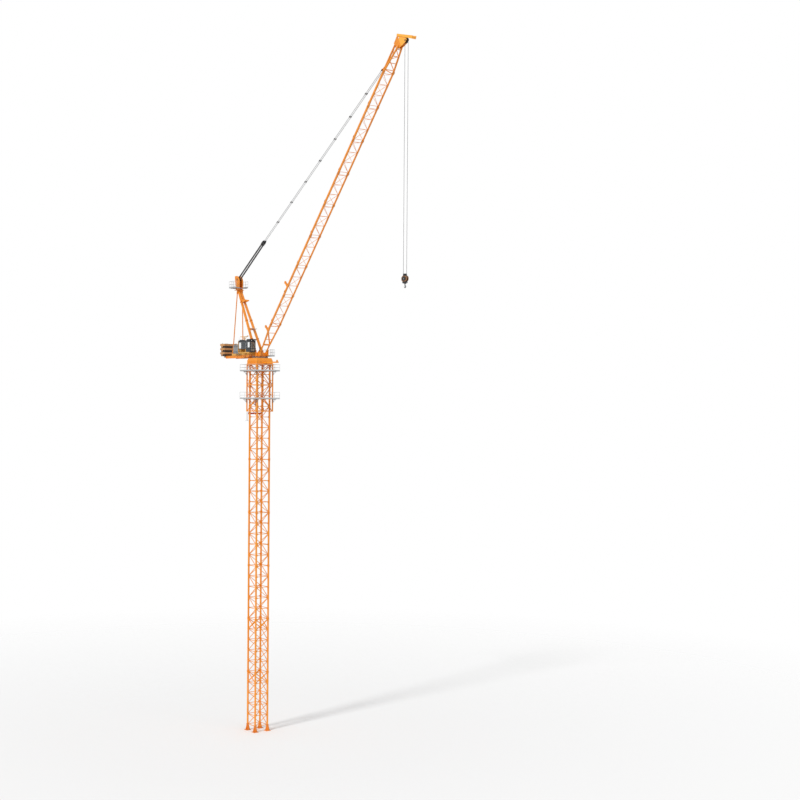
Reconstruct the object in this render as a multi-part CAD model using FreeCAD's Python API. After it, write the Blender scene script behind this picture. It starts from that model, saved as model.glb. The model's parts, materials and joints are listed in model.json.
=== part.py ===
import FreeCAD, Part
import math
import os

from FreeCAD import Vector

# Tower crane with a luffing jib, as a 1:10 model. Lengths are in millimetres.
# +X is forward, under the jib, +Y is the crane's left and +Z is up.
# The origin is on the tower's axis, at the level of the feet's undersides.

# ---- Tower ----
tower_width = 230.0  # between the legs' centres
leg_width = 22.0
panel_height = 171.5
section_panels = 5
base_sections = 2  # lower sections, braced one way and closed by a heavy cross
mast_panels = 24  # panels above them, braced in a zigzag
brace_width = 8.0
heavy_brace_width = 13.0

# ---- Feet ----
foot_height = 93.0
foot_base = 83.0
foot_plate = 8.0
foot_column = 28.0
foot_fin = 6.0
anchor_offset = 30.0
anchor_hole_radius = 3.0

# ---- Climbing cage round the top of the tower ----
cage_width = 300.0  # between the posts' centres
cage_bar = 16.0
cage_brace = 9.0
cage_height = 770.0
deck_width = 470.0
deck_thickness = 8.0
lower_deck_drop = 560.0  # deck tops, measured down from the tower's top
upper_deck_drop = 112.0
deck_bracket = 60.0
railing_height = 104.0
railing_post = 5.0
railing_rail = 4.0
railing_bays = 3
toe_board_height = 14.0
toe_board_thickness = 3.0

# ---- Climbing gear, feed beam and hanging ladder ----
crosshead_height = 26.0
crosshead_drop = 32.0  # from the cage's foot down to the crosshead's centre
cylinder_radius = 6.0
feed_beam_reach = 525.0
feed_beam_spacing = 44.0
feed_beam_width = 12.0
feed_beam_depth = 20.0
feed_beam_gap = 10.0
feed_stop_height = 46.0
feed_stop_width = 24.0
ladder_length = 146.0
ladder_width = 30.0
ladder_rungs = 5
ladder_stile = 4.0
ladder_rung_radius = 1.5

# ---- Ring support and slewing ring ----
ring_support_width = 300.0
ring_support_height = 95.0
ring_support_top = 268.0
ring_support_chamfer = 44.0
ring_support_wall = 50.0
ring_support_plate = 22.0
ring_support_hole = 70.0
ring_radius = 125.0
race_radius = 105.0
race_bore = 84.0
race_clearance = 0.3
ring_height = 26.0
slewing_gap = 5.0

# ---- Slewing platform ----
platform_rear = 190.0
platform_front = 70.0
platform_height = 61.0
platform_half_width = 105.0
jib_lug_thickness = 10.0
jib_lug_radius = 18.0
jib_lug_clearance = 2.0
jib_lug_root = 30.0  # how far the lugs reach back into the platform
pivot_pin_stand = 3.0

# ---- Counter-jib and ballast ----
counter_jib_reach = 910.0
girder_spacing = 194.0
girder_width = 16.0
girder_depth = 45.0
girder_drop = 20.0  # from the platform's underside down to the girders'
cross_beam_setbacks = (702.0, 450.0, 220.0)
cross_beam_recess = 8.0  # above the girders' undersides
carrier_recess = 3.0  # below the girders' tops
carrier_lap = 60.0
machine_bed_front = 200.0
machine_bed_rear = 712.0
machine_bed_height = 30.0
machine_bed_bar = 24.0
machine_bed_bays = 4
ballast_slabs = 3
ballast_width = 280.0
ballast_length = 140.0
ballast_slab_height = 66.0
ballast_slab_gap = 3.0
ballast_chamfer = 10.0
ballast_pad_radius = 16.0
ballast_front_gap = 4.0
ballast_carrier_spacing = 110.0
ballast_carrier_bar = 22.0

# ---- A-frame ----
frame_foot_x = -63.0
frame_foot_half = 64.0
frame_pad_height = 40.0
frame_head_x = -660.0
frame_head_half = 20.0
frame_foot_size_x = 38.0
frame_foot_size_y = 30.0
frame_head_size_x = 32.0
frame_head_size_y = 30.0
frame_rise = 1044.0  # from the platform's top up to the head's base plate
head_plate_thickness = 8.0
head_plate_half = 36.0
head_base_thickness = 10.0
head_height = 240.0
luffing_axle_x = -680.0
luffing_axle_rise = 180.0
luffing_axle_radius = 9.0
tie_foot_x = -698.0
tie_head_x = -650.0
tie_head_half = 45.0
tie_width = 12.0
head_deck_length = 230.0
head_deck_width = 230.0
head_deck_thickness = 6.0
head_deck_rise = 46.0
mid_platform_rise = 394.0
mid_platform_reach = 110.0
mid_beam_width = 20.0
leg_bracket_rise = 864.0
leg_bracket_reach = 105.0
leg_bracket_width = 16.0
leg_bracket_buffer = 14.0

# ---- Cab, machinery and side platform ----
cab_front = 46.0
cab_length = 122.0
annex_length = 244.0  # the cab's rear part, on a raised floor
annex_rise = 50.0
cab_gap = 7.0  # from the platform's side to the cab
cab_width = 104.0
cab_rise = 6.0
cab_height = 180.0
cab_wall = 6.0
cab_roof_thickness = 12.0
cab_roof_length = 88.0
cab_roof_overhang = 12.0
cab_roof_rise = 16.0
window_margin = 12.0
window_sill = 60.0
window_foot = 18.0
window_head = 22.0
side_window_length = 60.0
side_window_drop = 84.0
annex_window_margin = 18.0
annex_window_length = 70.0
glass_thickness = 3.0
carrier_width = 14.0
carrier_depth = 18.0
carrier_bend = 46.0
carrier_arm_rears = (150.0, 30.0)
winch_rear = 620.0
winch_length = 230.0
winch_width = 120.0
winch_height = 140.0
winch_cheek = 8.0
winch_tie_height = 12.0
drum_rise = 62.0
drum_gap = 8.0
drum_axle_radius = 10.0
drum_radius = 42.0
drum_flange_radius = 54.0
davit_x = -485.0
davit_rear = 620.0
davit_front = 383.0
davit_height = 285.0  # above the bed
davit_bar = 10.0
davit_brace_run = 60.0
cabinet_rear = 575.0
cabinet_length = 190.0
cabinet_width = 64.0
cabinet_height = 138.0
cabinet_lap = 10.0
side_platform_rear = 60.0
side_platform_front = 140.0
side_platform_width = 90.0
side_platform_rise = 10.0
side_platform_thickness = 5.0

# ---- Jib, in its own frame: u along the bottom chords from the pivot, v square to them ----
jib_pivot_x = 120.0
jib_pivot_rise = 32.0  # above the platform's top
jib_angle = 49.4  # degrees above level
jib_width = 170.0  # between the bottom chords' centres
jib_height = 120.0  # from the bottom chords to the top chord
chord_width = 19.0
jib_foot_length = 532.0
jib_section_length = 574.0
jib_sections = 8
section_end_margin = 25.0
section_panels_jib = 3
collar_width = 25.0
collar_length = 16.0
jib_brace = 7.0
jib_head_length = 565.0
pivot_radius = 8.0
pivot_clearance = 0.3
foot_lug_half = 58.0
foot_lug_thickness = 14.0
foot_lug_radius = 17.0
foot_yoke_u = 120.0
foot_top_chord_length = 230.0
pendant_setback = 28.0  # from the last section's end
pendant_strut_offset = 14.0
pendant_rise = 22.0
pendant_pin_radius = 5.0
pendant_spacing = 26.0
pendant_width = 7.0
pendant_bars = 8
coupler_length = 30.0
coupler_width = 13.0
luffing_block_u = 1296.0
luffing_block_v = 1154.0
luffing_block_length = 110.0
luffing_block_width = 46.0
luffing_block_depth = 44.0
head_plates_half = 26.0
head_plates_thickness = 8.0
head_throat_setback = 150.0  # from the sheave back to where the chords end
head_sheave_setback = 1.0
head_sheave_v = -77.0
sheave_radius = 39.0
sheave_width = 18.0
sheave_bore_radius = 7.1
sheave_axle_radius = 7.0
foot_guide_setback = 205.0
section_guide_offset = 107.0
guide_rise = 90.0
guide_wheel_radius = 24.0
guide_wheel_width = 12.0
guide_ear_thickness = 4.0
guide_axle_radius = 4.0
nose_beam_width = 10.0

# ---- Ropes and hook ----
rope_radius = 3.0
luffing_rope_parts = 4
luffing_rope_pitch = 8.0
seat_clearance = 0.3
block_rise = 954.0  # from the platform's top up to the hook block's sheave
block_crown = 70.0
block_reach = 62.0
block_half_height = 46.0
block_inner_half = 12.0
block_cheek = 7.0
block_foot_height = 26.0
shank_radius = 6.0
shank_length = 18.0
hook_collar_radius = 10.0
hook_collar_height = 5.0
hook_bowl_radius = 16.0
hook_thickness_radius = 5.5

# ---- Levels and places that follow from the sizes above ----
base_panels = base_sections * section_panels
tower_panels = base_panels + mast_panels
tower_top = foot_height + tower_panels * panel_height
cage_foot = tower_top - cage_height
lower_deck_z = tower_top - lower_deck_drop
upper_deck_z = tower_top - upper_deck_drop
ring_base_z = tower_top + ring_support_height
platform_z = ring_base_z + ring_height
platform_top = platform_z + platform_height
girder_low = platform_z - girder_drop
girder_top = girder_low + girder_depth
bed_top = girder_top + machine_bed_height
frame_head_z = platform_top + frame_rise
luffing_axle_z = frame_head_z + luffing_axle_rise
mid_platform_z = platform_top + mid_platform_rise
leg_bracket_z = platform_top + leg_bracket_rise
cab_inner = platform_half_width + cab_gap
cab_step = cab_front - cab_length
cab_rear = cab_step - annex_length
cab_base_z = platform_top + cab_rise
jib_pivot_z = platform_top + jib_pivot_rise
sections_end = jib_foot_length + jib_sections * jib_section_length
jib_head_end = sections_end + jib_head_length
pendant_station = sections_end - pendant_setback
head_sheave_u = jib_head_end - head_sheave_setback
first_joint_u = jib_foot_length + jib_section_length
guide_stations = (jib_foot_length - foot_guide_setback, first_joint_u + section_guide_offset)
block_sheave_z = platform_top + block_rise
block_top_z = block_sheave_z + block_crown


# ==== Shapes used throughout ====


def block(x_range, y_range, z_range):
    """Upright box between the two ends given for each axis."""
    low = Vector(min(x_range), min(y_range), min(z_range))
    high = Vector(max(x_range), max(y_range), max(z_range))
    size = high - low
    return Part.makeBox(size.x, size.y, size.z, low)


def centred_block(centre, size):
    """Upright box of the given size about its centre."""
    low = centre - Vector(*size) * 0.5
    return Part.makeBox(*size, low)


def rod(start, end, radius):
    """Round bar from start to end."""
    run = end - start
    return Part.makeCylinder(radius, run.Length, start, run)


def plate(outline, thickness):
    """Flat plate: a closed outline pushed out by the thickness vector."""
    wire = Part.makePolygon(list(outline) + [outline[0]])
    return Part.Face(wire).extrude(thickness)


def bar(start, end, width, depth, across):
    """Square-ended bar. Its width lies along `across`, taken square to the bar."""
    run = end - start
    side = across - run * (across.dot(run) / run.dot(run))
    side.normalize()
    other = run.cross(side)
    other.normalize()
    side = side * (width / 2)
    other = other * (depth / 2)
    corners = [start - side - other, start + side - other, start + side + other, start - side + other]
    return plate(corners, run)


def leaning_bar(foot, head, size_x, size_y):
    """Bar whose ends are both cut level, size_x by size_y on the cut."""
    half_x = Vector(size_x / 2, 0, 0)
    half_y = Vector(0, size_y / 2, 0)
    corners = [foot - half_x - half_y, foot + half_x - half_y, foot + half_x + half_y, foot - half_x + half_y]
    return plate(corners, head - foot)


def tapered_bar(foot, foot_size, head, head_size):
    """Leaning bar with level ends whose cut changes from foot_size to head_size."""
    wires = []
    for centre, size in ((foot, foot_size), (head, head_size)):
        half_x = Vector(size[0] / 2, 0, 0)
        half_y = Vector(0, size[1] / 2, 0)
        near = [centre - half_x - half_y, centre + half_x - half_y]
        far = [centre + half_x + half_y, centre - half_x + half_y]
        wires.append(Part.makePolygon(near + far + [near[0]]))
    return Part.makeLoft(wires, True, True)


def join(shapes):
    """Weld pieces that touch or cross into one solid."""
    shapes = list(shapes)
    if len(shapes) == 1:
        return shapes[0]
    return shapes[0].multiFuse(shapes[1:]).removeSplitter()


def turned(shape, degrees, axis=Vector(0, 0, 1), centre=Vector(0, 0, 0)):
    """Copy of a shape, turned about an axis through a centre."""
    copy = shape.copy()
    copy.rotate(centre, axis, degrees)
    return copy


def export(name, *solids):
    """Write one node. Several solids in it stay separate pieces."""
    shape = solids[0] if len(solids) == 1 else Part.makeCompound(list(solids))
    shape.exportStep(f"parts/{name}.step")
    litres = shape.Volume / 1e6
    print(f"{name:28s} solids {len(shape.Solids):3d}  volume {litres:9.3f} dm3  valid {shape.isValid()}")


# ==== Tower ====


def tower_foot(x_side, y_side):
    """Cast-in foot: base plate with four anchor holes, column and four tapering fins."""
    x = x_side * tower_width / 2
    y = y_side * tower_width / 2
    centre = Vector(x, y, 0)
    base = centred_block(centre + Vector(0, 0, foot_plate / 2), (foot_base, foot_base, foot_plate))
    for hole_x in (-anchor_offset, anchor_offset):
        for hole_y in (-anchor_offset, anchor_offset):
            hole = Part.makeCylinder(anchor_hole_radius, foot_plate, centre + Vector(hole_x, hole_y, 0))
            base = base.cut(hole)
    column_height = foot_height - foot_plate
    column = centred_block(
        centre + Vector(0, 0, foot_plate + column_height / 2), (foot_column, foot_column, column_height)
    )
    fin_outline = [
        Vector(foot_column / 2, -foot_fin / 2, foot_plate),
        Vector(foot_base / 2, -foot_fin / 2, foot_plate),
        Vector(foot_column / 2 + foot_fin, -foot_fin / 2, foot_height - foot_fin),
        Vector(foot_column / 2, -foot_fin / 2, foot_height - foot_fin),
    ]
    fin = plate(fin_outline, Vector(0, foot_fin, 0))
    fins = []
    for quarter in range(4):
        placed = turned(fin, 90 * quarter)
        placed.translate(centre)
        fins.append(placed)
    return join([base, column] + fins)


def tower_leg(x_side, y_side):
    """One leg, from its foot to the ring support."""
    centre = Vector(x_side * tower_width / 2, y_side * tower_width / 2, (foot_height + tower_top) / 2)
    return centred_block(centre, (leg_width, leg_width, tower_top - foot_height))


def upright_lattice_bar(x_start, z_start, x_end, z_end, width, face_y, depth):
    """Flat bar in an upright plane, with its ends cut upright to sit on the legs."""
    run = math.hypot(x_end - x_start, z_end - z_start)
    half = width / 2 * run / abs(x_end - x_start)
    near = face_y - depth / 2
    outline = [
        Vector(x_start, near, z_start - half),
        Vector(x_end, near, z_end - half),
        Vector(x_end, near, z_end + half),
        Vector(x_start, near, z_start + half),
    ]
    return plate(outline, Vector(0, depth, 0))


def tower_bracing(quarter):
    """The lacing of one tower face, seen from outside with its low end on the left.

    The lower sections lean one way and end in a heavy cross. The mast above zigzags,
    one panel out of step with the faces beside it.
    """
    reach = (tower_width - leg_width) / 2
    face_y = -tower_width / 2
    bars = []
    for level in range(tower_panels + 1):
        z = foot_height + level * panel_height
        z = min(max(z, foot_height + brace_width / 2), tower_top - brace_width / 2)
        bars.append(upright_lattice_bar(-reach, z, reach, z, brace_width, face_y, brace_width))
    for panel in range(tower_panels):
        low = foot_height + panel * panel_height + brace_width * 0.75
        high = low + panel_height - brace_width * 1.5
        in_base = panel < base_panels
        if in_base and panel % section_panels == section_panels - 1:
            cut = heavy_brace_width / 2 * math.hypot(2 * reach, panel_height) / (2 * reach)
            inset = cut - brace_width / 2
            for start, end in ((low + inset, high - inset), (high - inset, low + inset)):
                bars.append(
                    upright_lattice_bar(-reach, start, reach, end, heavy_brace_width, face_y, brace_width)
                )
        elif in_base or (panel + quarter) % 2 == 0:
            bars.append(upright_lattice_bar(-reach, low, reach, high, brace_width, face_y, brace_width))
        else:
            bars.append(upright_lattice_bar(-reach, high, reach, low, brace_width, face_y, brace_width))
    return turned(join(bars), 90 * quarter)


# ==== Climbing cage ====


def cage_side(quarter, with_posts, with_diagonals):
    """One face of the cage: level bars, slanted bars and, on two faces, the corner posts."""
    half = cage_width / 2
    reach = half - cage_bar / 2
    face_y = -half
    levels = [
        cage_foot + cage_bar / 2,
        lower_deck_z - deck_thickness / 2,
        (lower_deck_z + upper_deck_z - deck_thickness) / 2,
        upper_deck_z - deck_thickness / 2,
        tower_top - cage_bar / 2,
    ]
    bars = [upright_lattice_bar(-reach, z, reach, z, cage_bar, face_y, cage_bar) for z in levels]
    if with_diagonals:
        for index, (low, high) in enumerate(zip(levels, levels[1:])):
            start, end = (low, high) if index % 2 == 0 else (high, low)
            bars.append(upright_lattice_bar(-reach, start, reach, end, cage_brace, face_y, cage_brace))
    if with_posts:
        for x in (-half, half):
            centre = Vector(x, face_y, (cage_foot + tower_top) / 2)
            bars.append(centred_block(centre, (cage_bar, cage_bar, cage_height)))
    return turned(join(bars), 90 * quarter)


def deck(top_z):
    """Square working deck round the cage, on brackets from the cage's posts."""
    inner = cage_width / 2 + cage_bar / 2
    outer = deck_width / 2
    floor = block((-outer, outer), (-outer, outer), (top_z - deck_thickness, top_z))
    floor = floor.cut(block((-inner, inner), (-inner, inner), (top_z - deck_thickness, top_z)))
    under = top_z - deck_thickness
    outline = [
        Vector(-cage_width / 2 - cage_brace / 2, -inner, under),
        Vector(-cage_width / 2 - cage_brace / 2, -inner - deck_bracket, under),
        Vector(-cage_width / 2 - cage_brace / 2, -inner, under - deck_bracket),
    ]
    bracket = plate(outline, Vector(cage_brace, 0, 0))
    brackets = []
    for side in (bracket, bracket.mirror(Vector(0, 0, 0), Vector(1, 0, 0))):
        brackets += [turned(side, 90 * quarter) for quarter in range(4)]
    return join([floor] + brackets)


def railing_side(start, end):
    """One side of a railing along the floor: posts, a top rail, a knee rail and a toe board."""
    up = Vector(0, 0, 1)
    run = end - start
    pieces = []
    for step in range(railing_bays + 1):
        centre = start + run * (step / railing_bays) + up * (railing_height / 2)
        pieces.append(centred_block(centre, (railing_post, railing_post, railing_height)))
    for height in (railing_height - railing_rail / 2, railing_height / 2):
        pieces.append(bar(start + up * height, end + up * height, railing_rail, railing_rail, up))
    middle = up * (toe_board_height / 2)
    pieces.append(bar(start + middle, end + middle, toe_board_height, toe_board_thickness, up))
    return join(pieces)


def railing(x_range, y_range, floor_z, open_side):
    """Railing round three sides of a rectangle of floor."""
    inset = railing_post / 2
    x_low, x_high = min(x_range) + inset, max(x_range) - inset
    y_low, y_high = min(y_range) + inset, max(y_range) - inset
    corners = {
        "right": (Vector(x_low, y_low, floor_z), Vector(x_high, y_low, floor_z)),
        "front": (Vector(x_high, y_low, floor_z), Vector(x_high, y_high, floor_z)),
        "left": (Vector(x_high, y_high, floor_z), Vector(x_low, y_high, floor_z)),
        "rear": (Vector(x_low, y_high, floor_z), Vector(x_low, y_low, floor_z)),
    }
    return join([railing_side(*ends) for name, ends in corners.items() if name != open_side])


def deck_railing(floor_z):
    """Four separate railing sides round a working deck, with a joint at each corner."""
    outer = deck_width / 2 - railing_post / 2
    joint = railing_post + seat_clearance
    side = railing_side(Vector(-outer, -outer, floor_z), Vector(outer - joint, -outer, floor_z))
    return [turned(side, 90 * quarter) for quarter in range(4)]


def climbing_gear():
    """Crosshead across the rear legs, and the cylinder that pushes the cage up from it."""
    rear_face = -(tower_width + leg_width) / 2
    cage_face = -(cage_width - cage_bar) / 2
    centre_z = cage_foot - crosshead_drop
    half_span = (tower_width + leg_width) / 2
    beam = block(
        (cage_face, rear_face), (-half_span, half_span),
        (centre_z - crosshead_height / 2, centre_z + crosshead_height / 2),
    )
    cylinder_x = (cage_face + rear_face) / 2
    cylinder_foot = centre_z + crosshead_height / 2
    cylinder_head = lower_deck_z - deck_thickness / 2 - cage_bar / 2
    foot = Vector(cylinder_x, 0, cylinder_foot)
    cylinder = rod(foot, Vector(cylinder_x, 0, cylinder_head), cylinder_radius)
    bracket = block((cage_face, rear_face), (-cage_bar, cage_bar), (cylinder_head, cylinder_head + cage_bar))
    return beam, join([cylinder, bracket])


def hanging_ladder():
    """Short ladder under the cage's rear right corner, with a small landing at its foot."""
    y = -cage_width / 2
    x_near = -cage_width / 2
    half = ladder_stile / 2
    stiles = []
    for x in (x_near, x_near + ladder_width):
        stiles.append(
            block((x - half, x + half), (y - half, y + half), (cage_foot - ladder_length, cage_foot))
        )
    rungs = []
    for step in range(ladder_rungs):
        z = cage_foot - ladder_length * (step + 0.5) / ladder_rungs
        rungs.append(rod(Vector(x_near, y, z), Vector(x_near + ladder_width, y, z), ladder_rung_radius))
    landing = block(
        (x_near - ladder_width / 3, x_near + ladder_width * 4 / 3), (y - 24, y + 16),
        (cage_foot - ladder_length - ladder_stile, cage_foot - ladder_length),
    )
    return join(stiles + rungs + [landing])


# ==== Ring support, feed beam and slewing ring ====


def ring_support():
    """Square box between the tower and the slewing ring, narrowed at its top, open below."""
    half = ring_support_width / 2
    shoulder = ring_base_z - ring_support_chamfer
    lower = block((-half, half), (-half, half), (tower_top, shoulder))
    upper = tapered_bar(
        Vector(0, 0, shoulder), (ring_support_width, ring_support_width),
        Vector(0, 0, ring_base_z), (ring_support_top, ring_support_top),
    )
    inner = half - ring_support_wall
    hollow = block((-inner, inner), (-inner, inner), (tower_top, ring_base_z - ring_support_plate))
    hatch_foot = Vector(0, 0, ring_base_z - ring_support_plate)
    hatch = Part.makeCylinder(ring_support_hole, ring_support_plate, hatch_foot)
    return join([lower, upper]).cut(hollow).cut(hatch)


def feed_beam():
    """Pair of rails that stand out forward of the cage, with an end stop across them."""
    start = ring_support_width / 2
    low = tower_top + feed_beam_gap
    rails = []
    for side in (-1, 1):
        y = side * feed_beam_spacing / 2
        rails.append(
            block(
                (start, feed_beam_reach), (y - feed_beam_width / 2, y + feed_beam_width / 2),
                (low, low + feed_beam_depth),
            )
        )
    half = feed_beam_spacing / 2 + feed_beam_width / 2
    ahead = (feed_beam_reach - feed_beam_width, feed_beam_reach)
    end_plate = block(ahead, (-half, half), (low, low + feed_beam_depth))
    stop = block(ahead, (-feed_stop_width / 2, feed_stop_width / 2), (low, low + feed_stop_height))
    middle_x = (start + feed_beam_reach) / 2
    tie = block((middle_x, middle_x + feed_beam_width), (-half, half), (low, low + feed_beam_width))
    return join(rails + [end_plate, stop, tie])


def ring(outer_radius, bore_radius, low, high):
    """Flat round ring."""
    outer = Part.makeCylinder(outer_radius, high - low, Vector(0, 0, low))
    return outer.cut(Part.makeCylinder(bore_radius, high - low, Vector(0, 0, low)))


# ==== Slewing platform and counter-jib ====


def slewing_platform():
    """Box of plates on the slewing ring, with the jib's lugs and pivot pins at its front."""
    half = platform_half_width
    low, high = platform_z, platform_top
    outline = [
        Vector(-platform_rear, -half, low),
        Vector(platform_front, -half, low),
        Vector(platform_front, -half, high),
        Vector(-platform_rear * 0.5, -half, high),
        Vector(-platform_rear, -half, high - platform_height * 0.5),
    ]
    body = plate(outline, Vector(0, 2 * half, 0))
    lug_inner = foot_lug_half + foot_lug_thickness / 2 + jib_lug_clearance
    lug_root = platform_front - jib_lug_root
    race = ring(race_radius - race_clearance, race_bore, ring_base_z + slewing_gap, platform_z)
    pieces = [body, race]
    pivot = Vector(jib_pivot_x, 0, jib_pivot_z)
    for side in (-1, 1):
        lug_outline = [
            Vector(lug_root, 0, low),
            Vector(jib_pivot_x + jib_lug_radius, 0, low + 12),
            Vector(jib_pivot_x + jib_lug_radius, 0, jib_pivot_z),
            Vector(jib_pivot_x + jib_lug_radius * 0.6, 0, jib_pivot_z + jib_lug_radius * 0.8),
            Vector(jib_pivot_x - jib_lug_radius * 0.6, 0, jib_pivot_z + jib_lug_radius * 0.8),
            Vector(lug_root, 0, high),
        ]
        lug = plate(lug_outline, Vector(0, jib_lug_thickness, 0))
        lug.translate(Vector(0, lug_inner if side > 0 else -lug_inner - jib_lug_thickness, 0))
        pieces.append(lug)
        pin_end = foot_lug_half - foot_lug_thickness / 2 - pivot_pin_stand
        pieces.append(
            rod(
                pivot + Vector(0, side * pin_end, 0),
                pivot + Vector(0, side * (lug_inner + jib_lug_thickness + pivot_pin_stand), 0),
                pivot_radius,
            )
        )
        foot = Vector(frame_foot_x, side * frame_foot_half, high)
        pad = (frame_foot_size_x + 10, frame_foot_size_y + 10)
        pieces.append(
            tapered_bar(foot, (pad[0] + 16, pad[1]), foot + Vector(0, 0, frame_pad_height), pad)
        )
    return join(pieces)


def counter_jib_frame():
    """Two girders with cross beams, and the low carrier for the ballast behind them."""
    low, high = girder_low, girder_top
    carrier_top = high - carrier_recess
    pieces = []
    for side in (-1, 1):
        y = side * girder_spacing / 2
        pieces.append(
            block(
                (-counter_jib_reach, -platform_rear), (y - girder_width / 2, y + girder_width / 2),
                (low, high),
            )
        )
        carrier_y = side * ballast_carrier_spacing / 2
        pieces.append(
            block(
                (-counter_jib_reach - ballast_length, -counter_jib_reach + carrier_lap),
                (carrier_y - ballast_carrier_bar / 2, carrier_y + ballast_carrier_bar / 2),
                (carrier_top - ballast_carrier_bar, carrier_top),
            )
        )
    half = girder_spacing / 2
    rears = [-counter_jib_reach, -counter_jib_reach + carrier_lap - girder_width]
    rears += [-setback for setback in cross_beam_setbacks]
    for x in rears:
        pieces.append(block((x, x + girder_width), (-half, half), (low + cross_beam_recess, carrier_top)))
    return join(pieces)


def ballast_slab(index):
    """One slab of the ballast, with chamfered ends."""
    low = girder_top - carrier_recess + index * (ballast_slab_height + ballast_slab_gap)
    front = -counter_jib_reach - ballast_front_gap
    chamfer = ballast_chamfer
    half = ballast_width / 2
    outline = [
        Vector(front, -half + chamfer, low),
        Vector(front - chamfer, -half, low),
        Vector(front - ballast_length + chamfer, -half, low),
        Vector(front - ballast_length, -half + chamfer, low),
        Vector(front - ballast_length, half - chamfer, low),
        Vector(front - ballast_length + chamfer, half, low),
        Vector(front - chamfer, half, low),
        Vector(front, half - chamfer, low),
    ]
    slab = plate(outline, Vector(0, 0, ballast_slab_height))
    pieces = [slab]
    for side in (-1, 1):
        centre = Vector(front - ballast_length / 2, side * half * 0.6, low + ballast_slab_height)
        pieces.append(Part.makeCylinder(ballast_pad_radius, ballast_slab_gap, centre))
    return join(pieces)


# ==== A-frame ====


def a_frame_leg(side):
    """One box leg, from its pad on the platform to the head's base plate."""
    foot = Vector(frame_foot_x, side * frame_foot_half, platform_top + frame_pad_height)
    head = Vector(frame_head_x, side * frame_head_half, frame_head_z)
    foot_size = (frame_foot_size_x, frame_foot_size_y)
    return tapered_bar(foot, foot_size, head, (frame_head_size_x, frame_head_size_y))


def leg_point(side, z):
    """Centre of a leg at height z."""
    foot_z = platform_top + frame_pad_height
    share = (z - foot_z) / (frame_head_z - foot_z)
    x = frame_foot_x + (frame_head_x - frame_foot_x) * share
    y = frame_foot_half + (frame_head_half - frame_foot_half) * share
    return Vector(x, side * y, z)


def a_frame_tie(side):
    """Straight rear tie from the head's base plate down to the girder."""
    foot = Vector(tie_foot_x, side * girder_spacing / 2, bed_top)
    head = Vector(tie_head_x, side * tie_head_half, frame_head_z)
    return leaning_bar(foot, head, tie_width, tie_width)


def a_frame_head():
    """Base plate on the legs, with two side plates that hold the luffing sheaves' axle."""
    base_top = frame_head_z + head_base_thickness
    half = max(tie_head_half + tie_width / 2, head_plate_half) + 6
    rear, front = frame_head_x - 70, frame_head_x + 50
    pieces = [block((rear, front), (-half, half), (frame_head_z, base_top))]
    top = frame_head_z + head_height
    outline = [
        Vector(rear + 8, 0, base_top),
        Vector(front - 8, 0, base_top),
        Vector(front + 6, 0, top - 90),
        Vector(front - 28, 0, top - 22),
        Vector(front - 74, 0, top),
        Vector(rear - 22, 0, top),
        Vector(rear - 26, 0, top - 24),
    ]
    for side in (-1, 1):
        inner = head_plate_half - head_plate_thickness
        side_plate = plate(outline, Vector(0, head_plate_thickness, 0))
        side_plate.translate(Vector(0, inner if side > 0 else -inner - head_plate_thickness, 0))
        pieces.append(side_plate)
    axle = Vector(luffing_axle_x, 0, luffing_axle_z)
    reach = Vector(0, head_plate_half - head_plate_thickness / 2, 0)
    pieces.append(rod(axle - reach, axle + reach, luffing_axle_radius))
    spacer = block((rear + 8, rear + 16), (-head_plate_half, head_plate_half), (base_top, top - 70))
    pieces.append(spacer)
    return join(pieces)


def head_platform():
    """Service deck round the head, with its railing."""
    z = frame_head_z + head_deck_rise
    rear = frame_head_x - 150
    front = rear + head_deck_length
    half = head_deck_width / 2
    floor = block((rear, front), (-half, half), (z - head_deck_thickness, z))
    opening = block(
        (frame_head_x - 110, frame_head_x + 70), (-head_plate_half, head_plate_half),
        (z - head_deck_thickness, z),
    )
    rails = railing((rear, front), (-half, half), z, open_side="front")
    return join([floor.cut(opening), rails])


def mid_platform():
    """Cross beam between the legs, with a small landing in front of it."""
    z = mid_platform_z
    left = leg_point(1, z)
    half_leg = (frame_foot_size_y + frame_head_size_y) / 4
    reach = left.y - half_leg
    x = left.x
    front = x + mid_beam_width / 2
    pieces = [block((x - mid_beam_width / 2, front), (-reach, reach), (z - 20, z + 14))]
    landing = block((front, front + mid_platform_reach), (-reach, reach), (z - 4, z))
    pieces.append(landing)
    for side in (-1, 1):
        foot = Vector(front, side * (reach - 6), z - 20)
        tip = Vector(x + mid_platform_reach * 0.8, side * (reach - 6), z - 4)
        pieces.append(bar(foot, tip, 6.0, 6.0, Vector(0, 1, 0)))
    return join(pieces).cut(a_frame_leg(1)).cut(a_frame_leg(-1))


def leg_bracket(side):
    """Short bracket with a round end on the front of a leg."""
    z = leg_bracket_z
    root = leg_point(side, z)
    half_x = (frame_foot_size_x + frame_head_size_x) / 4
    x = root.x + half_x
    y = root.y
    half = leg_bracket_width / 2
    outline = [
        Vector(x - 18, y - half, z + 30),
        Vector(x + leg_bracket_reach, y - half, z + 12),
        Vector(x + leg_bracket_reach, y - half, z - 8),
        Vector(x + 10, y - half, z - 30),
    ]
    arm = plate(outline, Vector(0, leg_bracket_width, 0))
    leg = a_frame_leg(side)
    tip = Vector(x + leg_bracket_reach, y, z + 2)
    buffer = rod(tip, tip + Vector(leg_bracket_buffer, 0, 0), leg_bracket_width * 0.7)
    return join([arm.cut(leg), buffer])


# ==== Cab and machinery ====


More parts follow.
